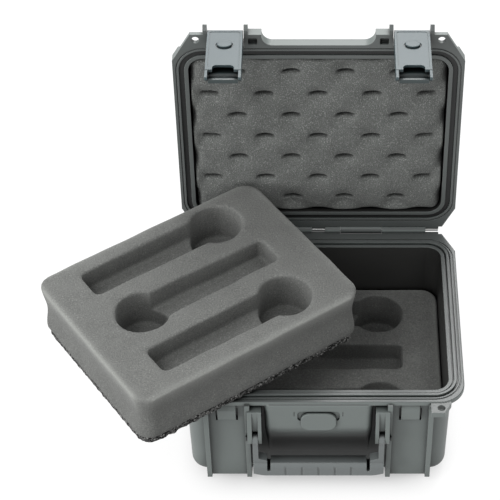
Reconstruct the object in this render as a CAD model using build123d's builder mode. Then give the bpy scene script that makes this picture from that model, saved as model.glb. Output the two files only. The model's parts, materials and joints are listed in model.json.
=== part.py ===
"""Watertight hard case with two foam microphone trays.

One tray lies in the tub, and the other is lifted out and rests askew on the rim.
"""

import os
from math import cos, radians, sin, sqrt, tan

from build123d import *

os.makedirs("parts", exist_ok=True)

# ---- Driving dimensions, mm. X is along the hinge, Y runs from front to back, Z is up. ----
# cavity and walls
INNER_Y = 187.5  # cavity width at the rim
INNER_R = 14.0  # vertical corner radius of the cavity
TUB_DEPTH = 115.0
LID_DEPTH = 42.0
WALL = 3.5
FLOOR = 3.5
DRAFT = 1.0  # moulding draft of every upright wall, degrees
TUB_BOTTOM_R = 11.0
LID_TOP_R = 6.0
LID_BEVEL = 26.6  # bevel along the lid's front top edge
LID_OPEN = 92.0  # how far the lid stands open at its stop, degrees
RIM_GAP = 0.4  # between the two rims when the lid is shut

# rim flange
FLANGE_SIDE = 14.4  # flange beyond the cavity at the sides
FLANGE_FRONT = 15.2  # and at the front
FLANGE_BACK = 19.5  # and at the hinge
TUB_FLANGE_T = 4.5
RIM_EDGE_R = 1.0
LID_FLANGE_T = 9.5
LID_CORNER_T = 4.2  # lid flange at the padlock corners
FRONT_CORNER_R = 24.0
BACK_CHAMFER_X = 12.0
BACK_CHAMFER_Y = 24.0
TONGUE_IN = 5.0  # cavity edge to the tongue
TONGUE_W = 2.4
TONGUE_H = 1.6
GROOVE_W = 1.6  # drain grooves each side of the tongue
GROOVE_DEPTH = 1.6
SEAL_GROOVE_W = 5.0
SEAL_GROOVE_DEPTH = 4.2
SEAL_SIDE_GAP = 0.3
SEAL_GAP = 0.3  # seal to tongue, lid shut
OUTER_LINE_IN = 10.6  # cavity edge to the outer moulded line
OUTER_LINE_W = 1.2
OUTER_LINE_DEPTH = 0.8

# hinge
HINGE_BEYOND = 4.5  # hinge axis beyond the flange
HINGE_RISE = 1.15  # and above the middle of the gap between the rims
HINGE_R = 4.0
HINGE_WEB = 14.0
HINGE_PIN_R = 1.6
HINGE_PIN_END = 119.5
HINGE_RUN = 0.08  # radial clearance of a running pin
HINGE_PIN_ROOM = 0.45  # flange lip to the pin where the pin shows
PIN_FIT = 0.03  # clearance of a pin that sits fast in its bore
PIN_CHAMFER = 0.5
KNUCKLE_GAP = 0.5
TUB_KNUCKLES = ((6.5, 21.5), (63.0, 106.5))  # from and to, each side of the middle

# latches, measured down from the rim of the shut case
LATCH_W = 32.4
LATCH_FACE = 28.5  # outer face beyond the cavity front
LATCH_PLATE_T = 2.6
LATCH_DEPTH = 12.8  # channel depth
LATCH_LONG = 54.0  # rim to the lower edge of the plate
LATCH_TIP = 11.0  # side cheeks beyond the plate
LATCH_CHEEK_T = 2.4
LATCH_PIVOT_Y = 19.4  # pivot beyond the cavity front
LATCH_PIVOT_UP = 3.6
LATCH_KNUCKLE_R = 4.4
LATCH_PIN_R = 1.6
LATCH_RUN = 0.08
LATCH_TOP_ABOVE = 3.0
LATCH_TOP_R = 2.0
LATCH_SIDE_GAP = 0.7
LATCH_BORDER = 2.2
LATCH_BORDER_H = 0.4
NOTCH_W = 19.5
NOTCH_H = 7.0
NOTCH_R = 4.0
NOTCH_ROOM = 2.2  # latch knuckle to the lid flange behind it
BOSS_W = 13.6
BOSS_H = 9.6
BOSS_DOWN = 17.5
BOSS_T = 1.8
BOSS_MOAT = 1.2
BOSS_MOAT_DEPTH = 0.8
BOSS_EDGE_R = 0.6
EAR_T = 3.6
EAR_REACH = 35.5  # tip of the guard ear beyond the cavity front
EAR_DOWN = 4.0
TRIGGER_PIVOT_DOWN = 49.0
TRIGGER_PIVOT_Y = 18.2  # beyond the cavity front
TRIGGER_PIN_R = 1.3
TRIGGER_RUN = 0.08
TRIGGER_SIDE_GAP = 0.4
TRIGGER_T = 2.4
TRIGGER_HUB_R = 3.2
TRIGGER_END = 60.0  # lip of the trigger below the rim
TRIGGER_LIP_T = 2.2
TRIGGER_LIP_OUT = 5.0
HOOK_LAP = 2.6
HOOK_H = 3.0
HOOK_GAP = 0.4
SPRING_T = 0.5
SPRING_W = 8.0
SPRING_FOOT = 44.0
SPRING_BEND = 37.0
SPRING_END = 31.0
SPRING_GAP = 0.2

# latch bays on the tub
BAY_W = 33.4
BAY_FACE = 10.8  # bay panel beyond the cavity front
BAY_BOTTOM = 110.0
BAY_RIB_T = 4.6
BAY_RIB_OUT = 18.2
BAY_RIB_LOW_OUT = 14.6
RIB_POINT = 1.5
CATCH_W = 17.0
CATCH_TOP = 9.0
CATCH_BOTTOM = 24.5
CATCH_OUT = 4.0
SLOT_W = 1.8
SLOT_TOP = 13.0
SLOT_BOTTOM = 30.0
SLOT_DEPTH = 3.0

# handle, its lugs and the panel behind it
PANEL_HALF = 50.0  # sets the handle's width and, with the latches, the whole case's
PANEL_TOP = 2.6
PANEL_TOP_R = 2.5
PANEL_EDGE_R = 6.0
PANEL_LEAN = 0.1
PANEL_MIDDLE = 56.0  # half-way down its hollow
PANEL_MIDDLE_FACE = 7.0
PANEL_FACE = 16.6  # beyond the cavity front
PANEL_STRAIGHT = 30.0
PANEL_BOTTOM = 84.0
PANEL_LOW_FACE = 3.0
HANDLE_PIVOT_DOWN = 46.0
HANDLE_PIVOT_Y = 20.0
HANDLE_PIN_R = 2.5
HANDLE_HUB_R = 6.0
HANDLE_RUN = 0.08
HANDLE_PIN_IN_RIB = 2.0
ARM_T = 5.0
ARM_DEPTH = 9.0
ARM_GAP = 0.35
LUG_PANEL_GAP = 2.9  # panel to the inner leg of the lug
LUG_INNER_T = 3.25
LUG_OUTER_T = 4.15
LUG_TOP = 9.5
LUG_BOTTOM = 36.0
LUG_OUT = 19.6
LUG_LEG_BOTTOM = 57.0
LUG_LEG_IN = 3.0
LUG_BOSS_R = 5.0
GRIP_TOP = 77.0
GRIP_BOTTOM = 96.0
GRIP_DEPTH = 15.0
GRIP_CORNER_X = 19.0  # bevel under each end of the grip
GRIP_CORNER_Z = 6.5
GRIP_SECTION_R = 5.5
GRIP_FRONT = 27.0
SHOULDER_W = 8.0  # step where each arm meets the grip
SHOULDER_H = 6.0
SHOULDER_NOTCH_W = 3.2
SHOULDER_NOTCH_H = 9.0
GROOVE_COUNT = 5  # finger grooves across the grip
GRIP_GROOVE_PITCH = 15.5
GRIP_GROOVE_W = 2.0
GRIP_GROOVE_DEEP = 0.6

# padlock lugs
LOCK_BEYOND_LATCH = 27.5
LOCK_INSET = 8.15  # hole to the line of the cavity's side
LOCK_Y = 21.1  # hole beyond the cavity front
LOCK_R = 3.5
LOCK_DROP = 1.0  # top of the tub's lug below the rim
LOCK_T = 6.0
LOCK_SIDE = 9.5
LOCK_EDGE = 6.0
LID_FRONT_OUT = 27.0  # lid flange beyond the cavity front, outside the handle relief
LID_RELIEF_OUT = 15.2
LID_RELIEF_INSET = 8.0  # its straight part is this much shorter than the panel below
LID_RELIEF_RUN = 10.0  # width of the curved end of the relief
LID_CORNER_BEYOND = 5.0  # start of the corner beyond the padlock hole
LID_CORNER_CUT = 29.6
POCKET_W = 8.5  # pocket in the lid's flange beside each latch
POCKET_Y = 7.0
POCKET_DEPTH = 4.5
POCKET_EDGE = 4.0
POCKET_R = 1.2
STACK_X = 196.0  # stacking frame on the lid's top
STACK_Y = 116.0
STACK_BACK = 10.0  # its middle behind the middle of the case
STACK_R = 16.0
STACK_W = 7.0
STACK_H = 1.6

# pressure valve
VALVE_DOWN = 24.5
VALVE_W = 33.0
VALVE_H = 23.0
VALVE_T = 2.2
VALVE_CORNER_R = 9.0
VALVE_EDGE_R = 0.8
VALVE_RECESS_OUT = 3.0  # recess beyond the upper half of the cover, each side
VALVE_RECESS_UP = 1.4
VALVE_RECESS_DEPTH = 1.4
VALVE_RECESS_R = 3.5
TICK_X = 22.5
TICK_W = 0.8
TICK_H = 6.0
TICK_DEPTH = 0.6
TICK_DOWN = 15.0
VALVE_STEM_R = 4.9
VALVE_POCKET = 5.0  # pocket floor beyond the cavity front
VALVE_POCKET_R = 9.0
VALVE_NUT_R = 8.0
VALVE_NUT_T = 3.0
MEMBRANE_R = 3.6
MEMBRANE_T = 0.5
VALVE_VENT_R = 2.2
SEAL_RING_R = 6.6
SEAL_RING_T = 1.6

# foam
FOAM_GAP = 0.5
FOAM_SEAT = 0.3  # foam to the face that it lies on
BACKING_T = 9.0
BACKING_INSET = 1.5
TRAY_CORNER_R = 15.0
ROW_PITCH = 58.0
HEAD_R = 25.0
HEAD_X = 59.0
HEAD_DEPTH = 42.0
SLOT_END_X = 82.0
SLOT_FOAM_W = 34.0
SLOT_TAIL_W = 31.0
SLOT_FOAM_DEPTH = 23.0
SLOT_FOAM_R = 5.0
LID_FOAM_H = 41.0
LID_FOAM_R = 12.0
LID_FOAM_INSET = 1.0

# the lifted tray, where its centre rests on the rim
OUT_TRAY_X = -111.1
OUT_TRAY_Y = -22.9
OUT_TRAY_TURN = 35.4
OUT_TRAY_RELAX = 5.0  # taller than in the tub, where the lid presses on it
OUT_BED_SHIFT = 2.5  # its beds behind its middle
OUT_TRAY_GAP = 0.3

# ---- Places worked out from them ----
RIM_Z = FLOOR + TUB_DEPTH
LUG_IN = PANEL_HALF + LUG_PANEL_GAP
ARM_IN = LUG_IN + LUG_INNER_T + ARM_GAP
LUG_OUTER = ARM_IN + ARM_T + ARM_GAP + LUG_OUTER_T
HANDLE_PIN_END = LUG_OUTER + HANDLE_PIN_IN_RIB
LATCH_X = LUG_OUTER + (BAY_W + BAY_RIB_T) / 2
LOCK_X = LATCH_X + LOCK_BEYOND_LATCH
LID_CORNER_X = LOCK_X + LID_CORNER_BEYOND
LID_RELIEF_HALF = PANEL_HALF - LID_RELIEF_INSET
INNER_X = 2 * (LOCK_X + LOCK_INSET)  # cavity length at the rim
OUTER_X = INNER_X + 2 * WALL
OUTER_Y = INNER_Y + 2 * WALL
OUTER_R = INNER_R + WALL
FRONT_Y = -INNER_Y / 2  # cavity front
SLOPE = tan(radians(DRAFT))
FLANGE_HALF_X = INNER_X / 2 + FLANGE_SIDE
FLANGE_FRONT_Y = FRONT_Y - FLANGE_FRONT
FLANGE_BACK_Y = INNER_Y / 2 + FLANGE_BACK
HINGE_Y = FLANGE_BACK_Y + HINGE_BEYOND
LID_Z = RIM_Z + RIM_GAP / 2  # the lid planes' zero, half-way between the rims
HINGE_Z = LID_Z + HINGE_RISE
LID_ROOM_BEVEL = LID_BEVEL - (2 - sqrt(2)) * WALL
TRAY_H = (TUB_DEPTH - FOAM_SEAT) / 2
PIVOT_Y = FRONT_Y - LATCH_PIVOT_Y
LATCH_FACE_Y = FRONT_Y - LATCH_FACE
LATCH_BACK_Y = LATCH_FACE_Y + LATCH_DEPTH
BAY_Y = FRONT_Y - BAY_FACE
LOCK_HOLE_Y = FRONT_Y - LOCK_Y
CATCH_Y = BAY_Y - CATCH_OUT
HANDLE_Y = FRONT_Y - HANDLE_PIVOT_Y
HANDLE_Z = RIM_Z - HANDLE_PIVOT_DOWN
PANEL_Y = FRONT_Y - PANEL_FACE
GRIP_BACK_Y = FRONT_Y - GRIP_FRONT + GRIP_DEPTH
SEAL_GROOVE_IN = TONGUE_IN + (TONGUE_W - SEAL_GROOVE_W) / 2
SEAL_T = SEAL_GROOVE_DEPTH + RIM_GAP - TONGUE_H - SEAL_GAP
TRIGGER_Y = FRONT_Y - TRIGGER_PIVOT_Y
TRIGGER_W = LATCH_W - 2 * LATCH_CHEEK_T - 2 * TRIGGER_SIDE_GAP
LATCH_PIN_LONG = LATCH_W + 2 * LATCH_SIDE_GAP + 2 * EAR_T
HANDLE_SWEEP = 2 * HANDLE_HUB_R
LID_KNUCKLE = (TUB_KNUCKLES[0][1] + KNUCKLE_GAP, TUB_KNUCKLES[1][0] - KNUCKLE_GAP)
PIN_SHOWS = ((-TUB_KNUCKLES[0][0], TUB_KNUCKLES[0][0]), (TUB_KNUCKLES[1][1], HINGE_PIN_END))
SIDES = (("left", -1), ("right", 1))


def lid_y(y):
    """A shut-case Y as the lid planes' own Y, which is measured from the hinge."""
    return y - HINGE_Y


# planes that move with the lid: their Z is the lid's own up, as when it is shut
lid_up = Vector(0, sin(radians(LID_OPEN)), cos(radians(LID_OPEN)))
lid_back = Vector(0, cos(radians(LID_OPEN)), -sin(radians(LID_OPEN)))
lid_origin = Vector(0, HINGE_Y, HINGE_Z) - lid_up * HINGE_RISE
lid_flat = Plane(origin=lid_origin, x_dir=(1, 0, 0), z_dir=lid_up)
lid_section = Plane(origin=lid_origin, x_dir=lid_back, z_dir=(1, 0, 0))
lid_front = Plane(origin=lid_origin, x_dir=(1, 0, 0), z_dir=-lid_back)
tub_section = Plane.YZ


def ring(inset, width):
    """A closed band round the cavity, inset from its edge, drawn in the current sketch."""
    RectangleRounded(
        INNER_X + 2 * (inset + width), INNER_Y + 2 * (inset + width), INNER_R + inset + width
    )
    RectangleRounded(
        INNER_X + 2 * inset, INNER_Y + 2 * inset, INNER_R + inset, mode=Mode.SUBTRACT
    )


def bevel(corner, size):
    """What a 45 degree bevel takes off an upper front corner, drawn in the current sketch."""
    y, z = corner
    Polygon(
        (y - WALL, z - size - WALL), (y + size + WALL, z + WALL), (y - WALL, z + WALL), align=None
    )


def finish(part, name):
    """Label a finished piece and write its file."""
    part.label = name
    export_step(part, f"parts/{name}.step")


# ---- Tub ----
with BuildPart() as base_shell:
    with BuildSketch(Plane.XY.offset(RIM_Z)):
        RectangleRounded(OUTER_X, OUTER_Y, OUTER_R)
    extrude(amount=-RIM_Z, taper=DRAFT)
    fillet(base_shell.faces().sort_by(Axis.Z)[0].edges(), TUB_BOTTOM_R)

    # rounded panel behind the handle, drawn in towards its foot to leave room for fingers
    with BuildSketch(tub_section):
        with BuildLine():
            panel_top = Line((FRONT_Y + WALL, RIM_Z - PANEL_TOP), (PANEL_Y, RIM_Z - PANEL_TOP))
            panel_front = Line(panel_top @ 1, (PANEL_Y, RIM_Z - PANEL_STRAIGHT))
            panel_curve = Spline(
                panel_front @ 1,
                (FRONT_Y - PANEL_MIDDLE_FACE, RIM_Z - PANEL_MIDDLE),
                (FRONT_Y - PANEL_LOW_FACE, RIM_Z - PANEL_BOTTOM),
                tangents=((0, -1), (PANEL_LEAN, -1)),
            )
            Polyline(panel_curve @ 1, (FRONT_Y + WALL, RIM_Z - PANEL_BOTTOM), panel_top @ 0)
        make_face()
    extrude(amount=PANEL_HALF, both=True)
    panel_ends = base_shell.edges(Select.LAST).filter_by(
        lambda e: abs(abs(e.center().X) - PANEL_HALF) < PIN_FIT
        and e.center().Y < PANEL_Y + PANEL_EDGE_R
        and e.length > PANEL_STRAIGHT / 2
    )
    fillet(panel_ends, PANEL_EDGE_R)
    panel_rim = base_shell.edges().filter_by(
        lambda e: abs(e.center().Z - RIM_Z + PANEL_TOP) < PIN_FIT
        and e.center().Y < FRONT_Y - WALL - PIN_FIT
    )
    fillet(panel_rim, PANEL_TOP_R)

    # rim flange: rounded at the front corners, chamfered at the hinge corners
    with BuildSketch(Plane.XY.offset(RIM_Z)):
        with BuildLine():
            Polyline(
                (0, FLANGE_FRONT_Y),
                (FLANGE_HALF_X, FLANGE_FRONT_Y),
                (FLANGE_HALF_X, FLANGE_BACK_Y - BACK_CHAMFER_Y),
                (FLANGE_HALF_X - BACK_CHAMFER_X, FLANGE_BACK_Y),
                (0, FLANGE_BACK_Y),
            )
            mirror(about=Plane.YZ)
        flange_outline = make_face()
        front_corners = flange_outline.vertices().group_by(Axis.Y)[0].filter_by(
            lambda v: abs(v.X) > FLANGE_HALF_X / 2
        )
        fillet(front_corners, FRONT_CORNER_R)
    extrude(amount=-TUB_FLANGE_T)
    fillet(base_shell.faces().sort_by(Axis.Z)[-1].outer_wire().edges(), RIM_EDGE_R)

    for side in (-1, 1):
        # latch bay: a flat panel between two guard ribs
        with BuildSketch(tub_section.offset(side * LATCH_X)):
            with BuildLine():
                Polyline(
                    (FRONT_Y + WALL, RIM_Z - TUB_FLANGE_T / 2),
                    (BAY_Y, RIM_Z - TUB_FLANGE_T / 2),
                    (BAY_Y, RIM_Z - BAY_BOTTOM),
                    (FRONT_Y + WALL, RIM_Z - BAY_BOTTOM),
                    close=True,
                )
            make_face()
        extrude(amount=BAY_W / 2, both=True)
        for edge in (-1, 1):
            rib_x = side * LATCH_X + edge * (BAY_W + BAY_RIB_T) / 2
            with BuildSketch(tub_section.offset(rib_x)):
                with BuildLine():
                    Polyline(
                        (FRONT_Y + WALL, RIM_Z - TUB_FLANGE_T / 2),
                        (FRONT_Y - BAY_RIB_OUT, RIM_Z - TUB_FLANGE_T / 2),
                        (FRONT_Y - BAY_RIB_OUT, RIM_Z - LUG_LEG_BOTTOM),
                        (FRONT_Y - BAY_RIB_LOW_OUT, RIM_Z - BAY_BOTTOM),
                        (FRONT_Y - BAY_FACE, RIM_Z - BAY_BOTTOM - RIB_POINT),
                        (FRONT_Y + WALL, RIM_Z - BAY_BOTTOM),
                        close=True,
                    )
                make_face()
            extrude(amount=BAY_RIB_T / 2, both=True)

        # catch that the trigger's hook snaps under, with a ramp above it
        with BuildSketch(tub_section.offset(side * LATCH_X)):
            with BuildLine():
                Polyline(
                    (BAY_Y + WALL, RIM_Z - CATCH_TOP + CATCH_OUT),
                    (BAY_Y, RIM_Z - CATCH_TOP + CATCH_OUT),
                    (CATCH_Y, RIM_Z - CATCH_TOP - CATCH_OUT),
                    (CATCH_Y, RIM_Z - CATCH_BOTTOM),
                    (BAY_Y + WALL, RIM_Z - CATCH_BOTTOM),
                    close=True,
                )
            make_face()
        extrude(amount=CATCH_W / 2, both=True)

        # handle lug: a block above the pivot and two legs that carry its pin
        with BuildSketch(Plane.XY.offset(RIM_Z - LUG_TOP)):
            with Locations((side * (LUG_IN + LUG_OUTER) / 2, FRONT_Y + (WALL - LUG_OUT) / 2)):
                Rectangle(LUG_OUTER - LUG_IN, LUG_OUT + WALL)
        extrude(amount=LUG_TOP - LUG_BOTTOM)
        for start, end in ((LUG_IN, ARM_IN - ARM_GAP), (ARM_IN + ARM_T + ARM_GAP, LUG_OUTER)):
            with BuildSketch(tub_section.offset(side * (start + end) / 2)):
                with BuildLine():
                    Polyline(
                        (FRONT_Y + WALL, RIM_Z - LUG_TOP),
                        (FRONT_Y - LUG_OUT, RIM_Z - LUG_TOP),
                        (HANDLE_Y - LUG_BOSS_R, HANDLE_Z),
                        (FRONT_Y - LUG_OUT + LUG_LEG_IN, RIM_Z - LUG_LEG_BOTTOM),
                        (FRONT_Y + WALL, RIM_Z - LUG_LEG_BOTTOM),
                        close=True,
                    )
                make_face()
                with Locations((HANDLE_Y, HANDLE_Z)):
                    Circle(LUG_BOSS_R)
            extrude(amount=(end - start) / 2, both=True)

        # padlock lug under the front corner
        with BuildSketch(Plane.XY.offset(RIM_Z - LOCK_DROP)):
            with BuildLine():
                Polyline(
                    (side * (LOCK_X - LOCK_SIDE), FRONT_Y + WALL),
                    (side * (LOCK_X - LOCK_SIDE), LOCK_HOLE_Y - LOCK_EDGE),
                    (side * (LOCK_X + LOCK_EDGE / 2), LOCK_HOLE_Y - LOCK_EDGE),
                    (side * (LOCK_X + LOCK_SIDE), LOCK_HOLE_Y + LOCK_EDGE),
                    (side * (LOCK_X + LOCK_SIDE), FRONT_Y + WALL + FRONT_CORNER_R / 2),
                    close=True,
                )
            make_face()
        extrude(amount=-LOCK_T)

        # the flange reaches back under the pin beside the outer knuckle
        lip_long = HINGE_BEYOND + WALL - HINGE_PIN_R - HINGE_PIN_ROOM
        start, end = PIN_SHOWS[1]
        with BuildSketch(Plane.XY.offset(RIM_Z)):
            with Locations((side * (start + end) / 2, FLANGE_BACK_Y - WALL + lip_long / 2)):
                Rectangle(end - start, lip_long)
        extrude(amount=-TUB_FLANGE_T)

        # hinge knuckles on a web behind the flange
        for start, end in TUB_KNUCKLES:
            middle = side * (start + end) / 2
            with BuildSketch(tub_section.offset(middle)):
                with BuildLine():
                    Polyline(
                        (FLANGE_BACK_Y - WALL, RIM_Z),
                        (HINGE_Y, RIM_Z),
                        (HINGE_Y + HINGE_R, HINGE_Z),
                        (HINGE_Y + HINGE_R / 2, RIM_Z - HINGE_R),
                        (FLANGE_BACK_Y, RIM_Z - HINGE_WEB),
                        (FLANGE_BACK_Y - WALL, RIM_Z - HINGE_WEB),
                        close=True,
                    )
                make_face()
                with Locations((HINGE_Y, HINGE_Z)):
                    Circle(HINGE_R)
            extrude(amount=(end - start) / 2, both=True)

    # and in the middle
    with BuildSketch(Plane.XY.offset(RIM_Z)):
        with Locations((0, FLANGE_BACK_Y - WALL + lip_long / 2)):
            Rectangle(PIN_SHOWS[0][1] - PIN_SHOWS[0][0], lip_long)
    extrude(amount=-TUB_FLANGE_T)

    # rim profile: tongue between two drain grooves, and a line near the outer edge
    with BuildSketch(Plane.XY.offset(RIM_Z)):
        ring(TONGUE_IN, TONGUE_W)
    extrude(amount=TONGUE_H)
    for inset, width, depth in (
        (TONGUE_IN - GROOVE_W, GROOVE_W, GROOVE_DEPTH),
        (TONGUE_IN + TONGUE_W, GROOVE_W, GROOVE_DEPTH),
        (OUTER_LINE_IN, OUTER_LINE_W, OUTER_LINE_DEPTH),
    ):
        with BuildSketch(Plane.XY.offset(RIM_Z)):
            ring(inset, width)
        extrude(amount=-depth, mode=Mode.SUBTRACT)

    # cavity
    with BuildSketch(Plane.XY.offset(RIM_Z)):
        RectangleRounded(INNER_X, INNER_Y, INNER_R)
    extrude(amount=-TUB_DEPTH, taper=DRAFT, mode=Mode.SUBTRACT)

    # bores: hinge pin, handle pins, padlock holes and the pressure valve
    with BuildSketch(tub_section):
        with Locations((HINGE_Y, HINGE_Z)):
            Circle(HINGE_PIN_R + PIN_FIT)
    extrude(amount=FLANGE_HALF_X, both=True, mode=Mode.SUBTRACT)
    for side in (-1, 1):
        with BuildSketch(tub_section.offset(side * (LUG_IN - 1))):
            with Locations((HANDLE_Y, HANDLE_Z)):
                Circle(HANDLE_PIN_R + PIN_FIT)
        extrude(amount=side * (HANDLE_PIN_END - LUG_IN + 1), mode=Mode.SUBTRACT)
        with BuildSketch(Plane.XY.offset(RIM_Z - LOCK_DROP - LOCK_T)):
            with Locations((side * LOCK_X, LOCK_HOLE_Y)):
                Circle(LOCK_R)
        extrude(amount=LOCK_T, mode=Mode.SUBTRACT)
        for edge in (-1, 1):
            slot_x = side * LATCH_X + edge * (CATCH_W + SLOT_W) / 2
            with BuildSketch(Plane.XZ.offset(-BAY_Y)):
                with Locations((slot_x, RIM_Z - (SLOT_TOP + SLOT_BOTTOM) / 2)):
                    Rectangle(SLOT_W, SLOT_BOTTOM - SLOT_TOP)
            extrude(amount=-SLOT_DEPTH, mode=Mode.SUBTRACT)
    panel_face = Plane.XZ.offset(-PANEL_Y)
    recess_top = RIM_Z - VALVE_DOWN + VALVE_H / 2 + VALVE_RECESS_UP
    recess_h = VALVE_H / 2 + VALVE_RECESS_UP
    with BuildSketch(panel_face):
        with Locations((0, recess_top - recess_h / 2)):
            RectangleRounded(VALVE_W + 2 * VALVE_RECESS_OUT, recess_h, VALVE_RECESS_R)
    extrude(amount=-VALVE_RECESS_DEPTH, mode=Mode.SUBTRACT)
    with BuildSketch(panel_face):
        with Locations((-TICK_X, RIM_Z - TICK_DOWN), (TICK_X, RIM_Z - TICK_DOWN)):
            Rectangle(TICK_W, TICK_H)
    extrude(amount=-TICK_DEPTH, mode=Mode.SUBTRACT)
    with BuildSketch(panel_face):
        with Locations((0, RIM_Z - VALVE_DOWN)):
            Circle(VALVE_STEM_R + PIN_FIT)
    extrude(amount=-PANEL_FACE, mode=Mode.SUBTRACT)
    with BuildSketch(Plane.XZ.offset(VALVE_POCKET - FRONT_Y)):
        with Locations((0, RIM_Z - VALVE_DOWN)):
            Circle(VALVE_POCKET_R)
    extrude(amount=-VALVE_POCKET - WALL, mode=Mode.SUBTRACT)

finish(base_shell.part, "base_shell")

with BuildPart() as hinge_pin:
    with BuildSketch(tub_section.offset(-HINGE_PIN_END)):
        with Locations((HINGE_Y, HINGE_Z)):
            Circle(HINGE_PIN_R)
    extrude(amount=2 * HINGE_PIN_END)
    chamfer(hinge_pin.edges(), PIN_CHAMFER)

finish(hinge_pin.part, "hinge_pin")


# ---- Lid, drawn on planes that stand open with it ----
with BuildPart() as lid_shell:
    rim = lid_flat.offset(RIM_GAP / 2)
    with BuildSketch(rim):
        with Locations((0, lid_y(0))):
            RectangleRounded(OUTER_X, OUTER_Y, OUTER_R)
    extrude(amount=LID_DEPTH + WALL, taper=DRAFT)
    with BuildSketch(lid_section):
        lid_corner = (lid_y(FRONT_Y - WALL), RIM_GAP / 2 + LID_DEPTH + WALL)
        bevel(lid_corner, LID_BEVEL)
    extrude(amount=FLANGE_HALF_X, both=True, mode=Mode.SUBTRACT)
    lid_top = lid_shell.faces().sort_by(Axis(lid_origin, lid_up))[-1]
    fillet(lid_top.edges(), LID_TOP_R)

    # rim flange with the handle relief, the latch notches and chamfered lock corners
    with BuildSketch(rim):
        with BuildLine():
            front_y = lid_y(FRONT_Y - LID_FRONT_OUT)
            relief_y = lid_y(FRONT_Y - LID_RELIEF_OUT)
            relief_end = Line((0, relief_y), (LID_RELIEF_HALF, relief_y))
            relief_curve = TangentArc(
                relief_end @ 1,
                (LID_RELIEF_HALF + LID_RELIEF_RUN, front_y),
                tangent=(1, 0),
            )
            Polyline(
                relief_curve @ 1,
                (LID_CORNER_X, front_y),
                (FLANGE_HALF_X, front_y + LID_CORNER_CUT),
                (FLANGE_HALF_X, lid_y(FLANGE_BACK_Y - BACK_CHAMFER_Y)),
                (FLANGE_HALF_X - BACK_CHAMFER_X, lid_y(FLANGE_BACK_Y)),
                (0, lid_y(FLANGE_BACK_Y)),
            )
            mirror(about=Plane.YZ)
        make_face()
        notch_back = lid_y(PIVOT_Y) + LATCH_KNUCKLE_R + NOTCH_ROOM
        notch_depth = notch_back - front_y
        with Locations(
            (-LATCH_X, notch_back - notch_depth / 2), (LATCH_X, notch_back - notch_depth / 2)
        ):
            Rectangle(LATCH_W + 2 * LATCH_SIDE_GAP, notch_depth, mode=Mode.SUBTRACT)
    extrude(amount=LID_FLANGE_T)
    with BuildSketch(rim.offset(LID_CORNER_T)):
        corner_from = LATCH_X
        corner_wide = FLANGE_HALF_X - corner_from + WALL
        corner_deep = LID_FRONT_OUT - 2 * WALL
        for side in (-1, 1):
            with Locations((side * (corner_from + corner_wide / 2), front_y + corner_deep / 2)):
                Rectangle(corner_wide, corner_deep)
    extrude(amount=LID_FLANGE_T, mode=Mode.SUBTRACT)

    # lips beside the knuckles, over the pin where it shows
    lip_y = lid_y(FLANGE_BACK_Y) - WALL + lip_long / 2
    with BuildSketch(rim):
        for start, end in (*PIN_SHOWS, (-PIN_SHOWS[1][1], -PIN_SHOWS[1][0])):
            with Locations(((start + end) / 2, lip_y)):
                Rectangle(end - start, lip_long)
    extrude(amount=LID_CORNER_T)

    for side in (-1, 1):
        # guard ears each side of the latch, which carry its pivot pin
        for edge in (-1, 1):
            ear_x = side * LATCH_X + edge * (LATCH_W / 2 + LATCH_SIDE_GAP + EAR_T / 2)
            with BuildSketch(lid_section.offset(ear_x)):
                with BuildLine():
                    Polyline(
                        (lid_y(FRONT_Y), RIM_GAP / 2),
                        (lid_y(FRONT_Y - EAR_REACH + EAR_DOWN), RIM_GAP / 2),
                        (lid_y(FRONT_Y - EAR_REACH), EAR_DOWN),
                        (lid_y(FRONT_Y - EAR_REACH + EAR_DOWN), 2.5 * EAR_DOWN),
                        (lid_y(FRONT_Y), LID_DEPTH / 2),
                        close=True,
                    )
                make_face()
            extrude(amount=EAR_T / 2, both=True)
        # hinge knuckle
        start, end = LID_KNUCKLE
        with BuildSketch(lid_section.offset(side * (start + end) / 2)):
            with BuildLine():
                Polyline(
                    (lid_y(FLANGE_BACK_Y) - WALL, RIM_GAP / 2),
                    (0, RIM_GAP / 2),
                    (HINGE_R, HINGE_RISE),
                    (HINGE_R / 2, HINGE_R),
                    (lid_y(FLANGE_BACK_Y), HINGE_WEB),
                    (lid_y(FLANGE_BACK_Y) - WALL, HINGE_WEB),
                    close=True,
                )
            make_face()
            with Locations((0, HINGE_RISE)):
                Circle(HINGE_R)
        extrude(amount=(end - start) / 2, both=True)

    # shallow stacking frame on the outside of the top
    with BuildSketch(rim.offset(LID_DEPTH + WALL)):
        with Locations((0, lid_y(STACK_BACK))):
            RectangleRounded(STACK_X, STACK_Y, STACK_R)
            RectangleRounded(
                STACK_X - 2 * STACK_W, STACK_Y - 2 * STACK_W, STACK_R - STACK_W, mode=Mode.SUBTRACT
            )
    extrude(amount=STACK_H)

    # cavity, seal groove and outer line
    with BuildPart(mode=Mode.SUBTRACT):
        with BuildSketch(rim):
            with Locations((0, lid_y(0))):
                RectangleRounded(INNER_X, INNER_Y, INNER_R)
        extrude(amount=LID_DEPTH, taper=DRAFT)
        with BuildSketch(lid_section):
            bevel((lid_y(FRONT_Y), RIM_GAP / 2 + LID_DEPTH), LID_ROOM_BEVEL)
        extrude(amount=FLANGE_HALF_X, both=True, mode=Mode.SUBTRACT)
    with BuildSketch(rim):
        with Locations((0, lid_y(0))):
            ring(SEAL_GROOVE_IN, SEAL_GROOVE_W)
    extrude(amount=SEAL_GROOVE_DEPTH, mode=Mode.SUBTRACT)
    with BuildSketch(rim):
        with Locations((0, lid_y(0))):
            ring(OUTER_LINE_IN, OUTER_LINE_W)
    extrude(amount=OUTER_LINE_DEPTH, mode=Mode.SUBTRACT)

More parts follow.
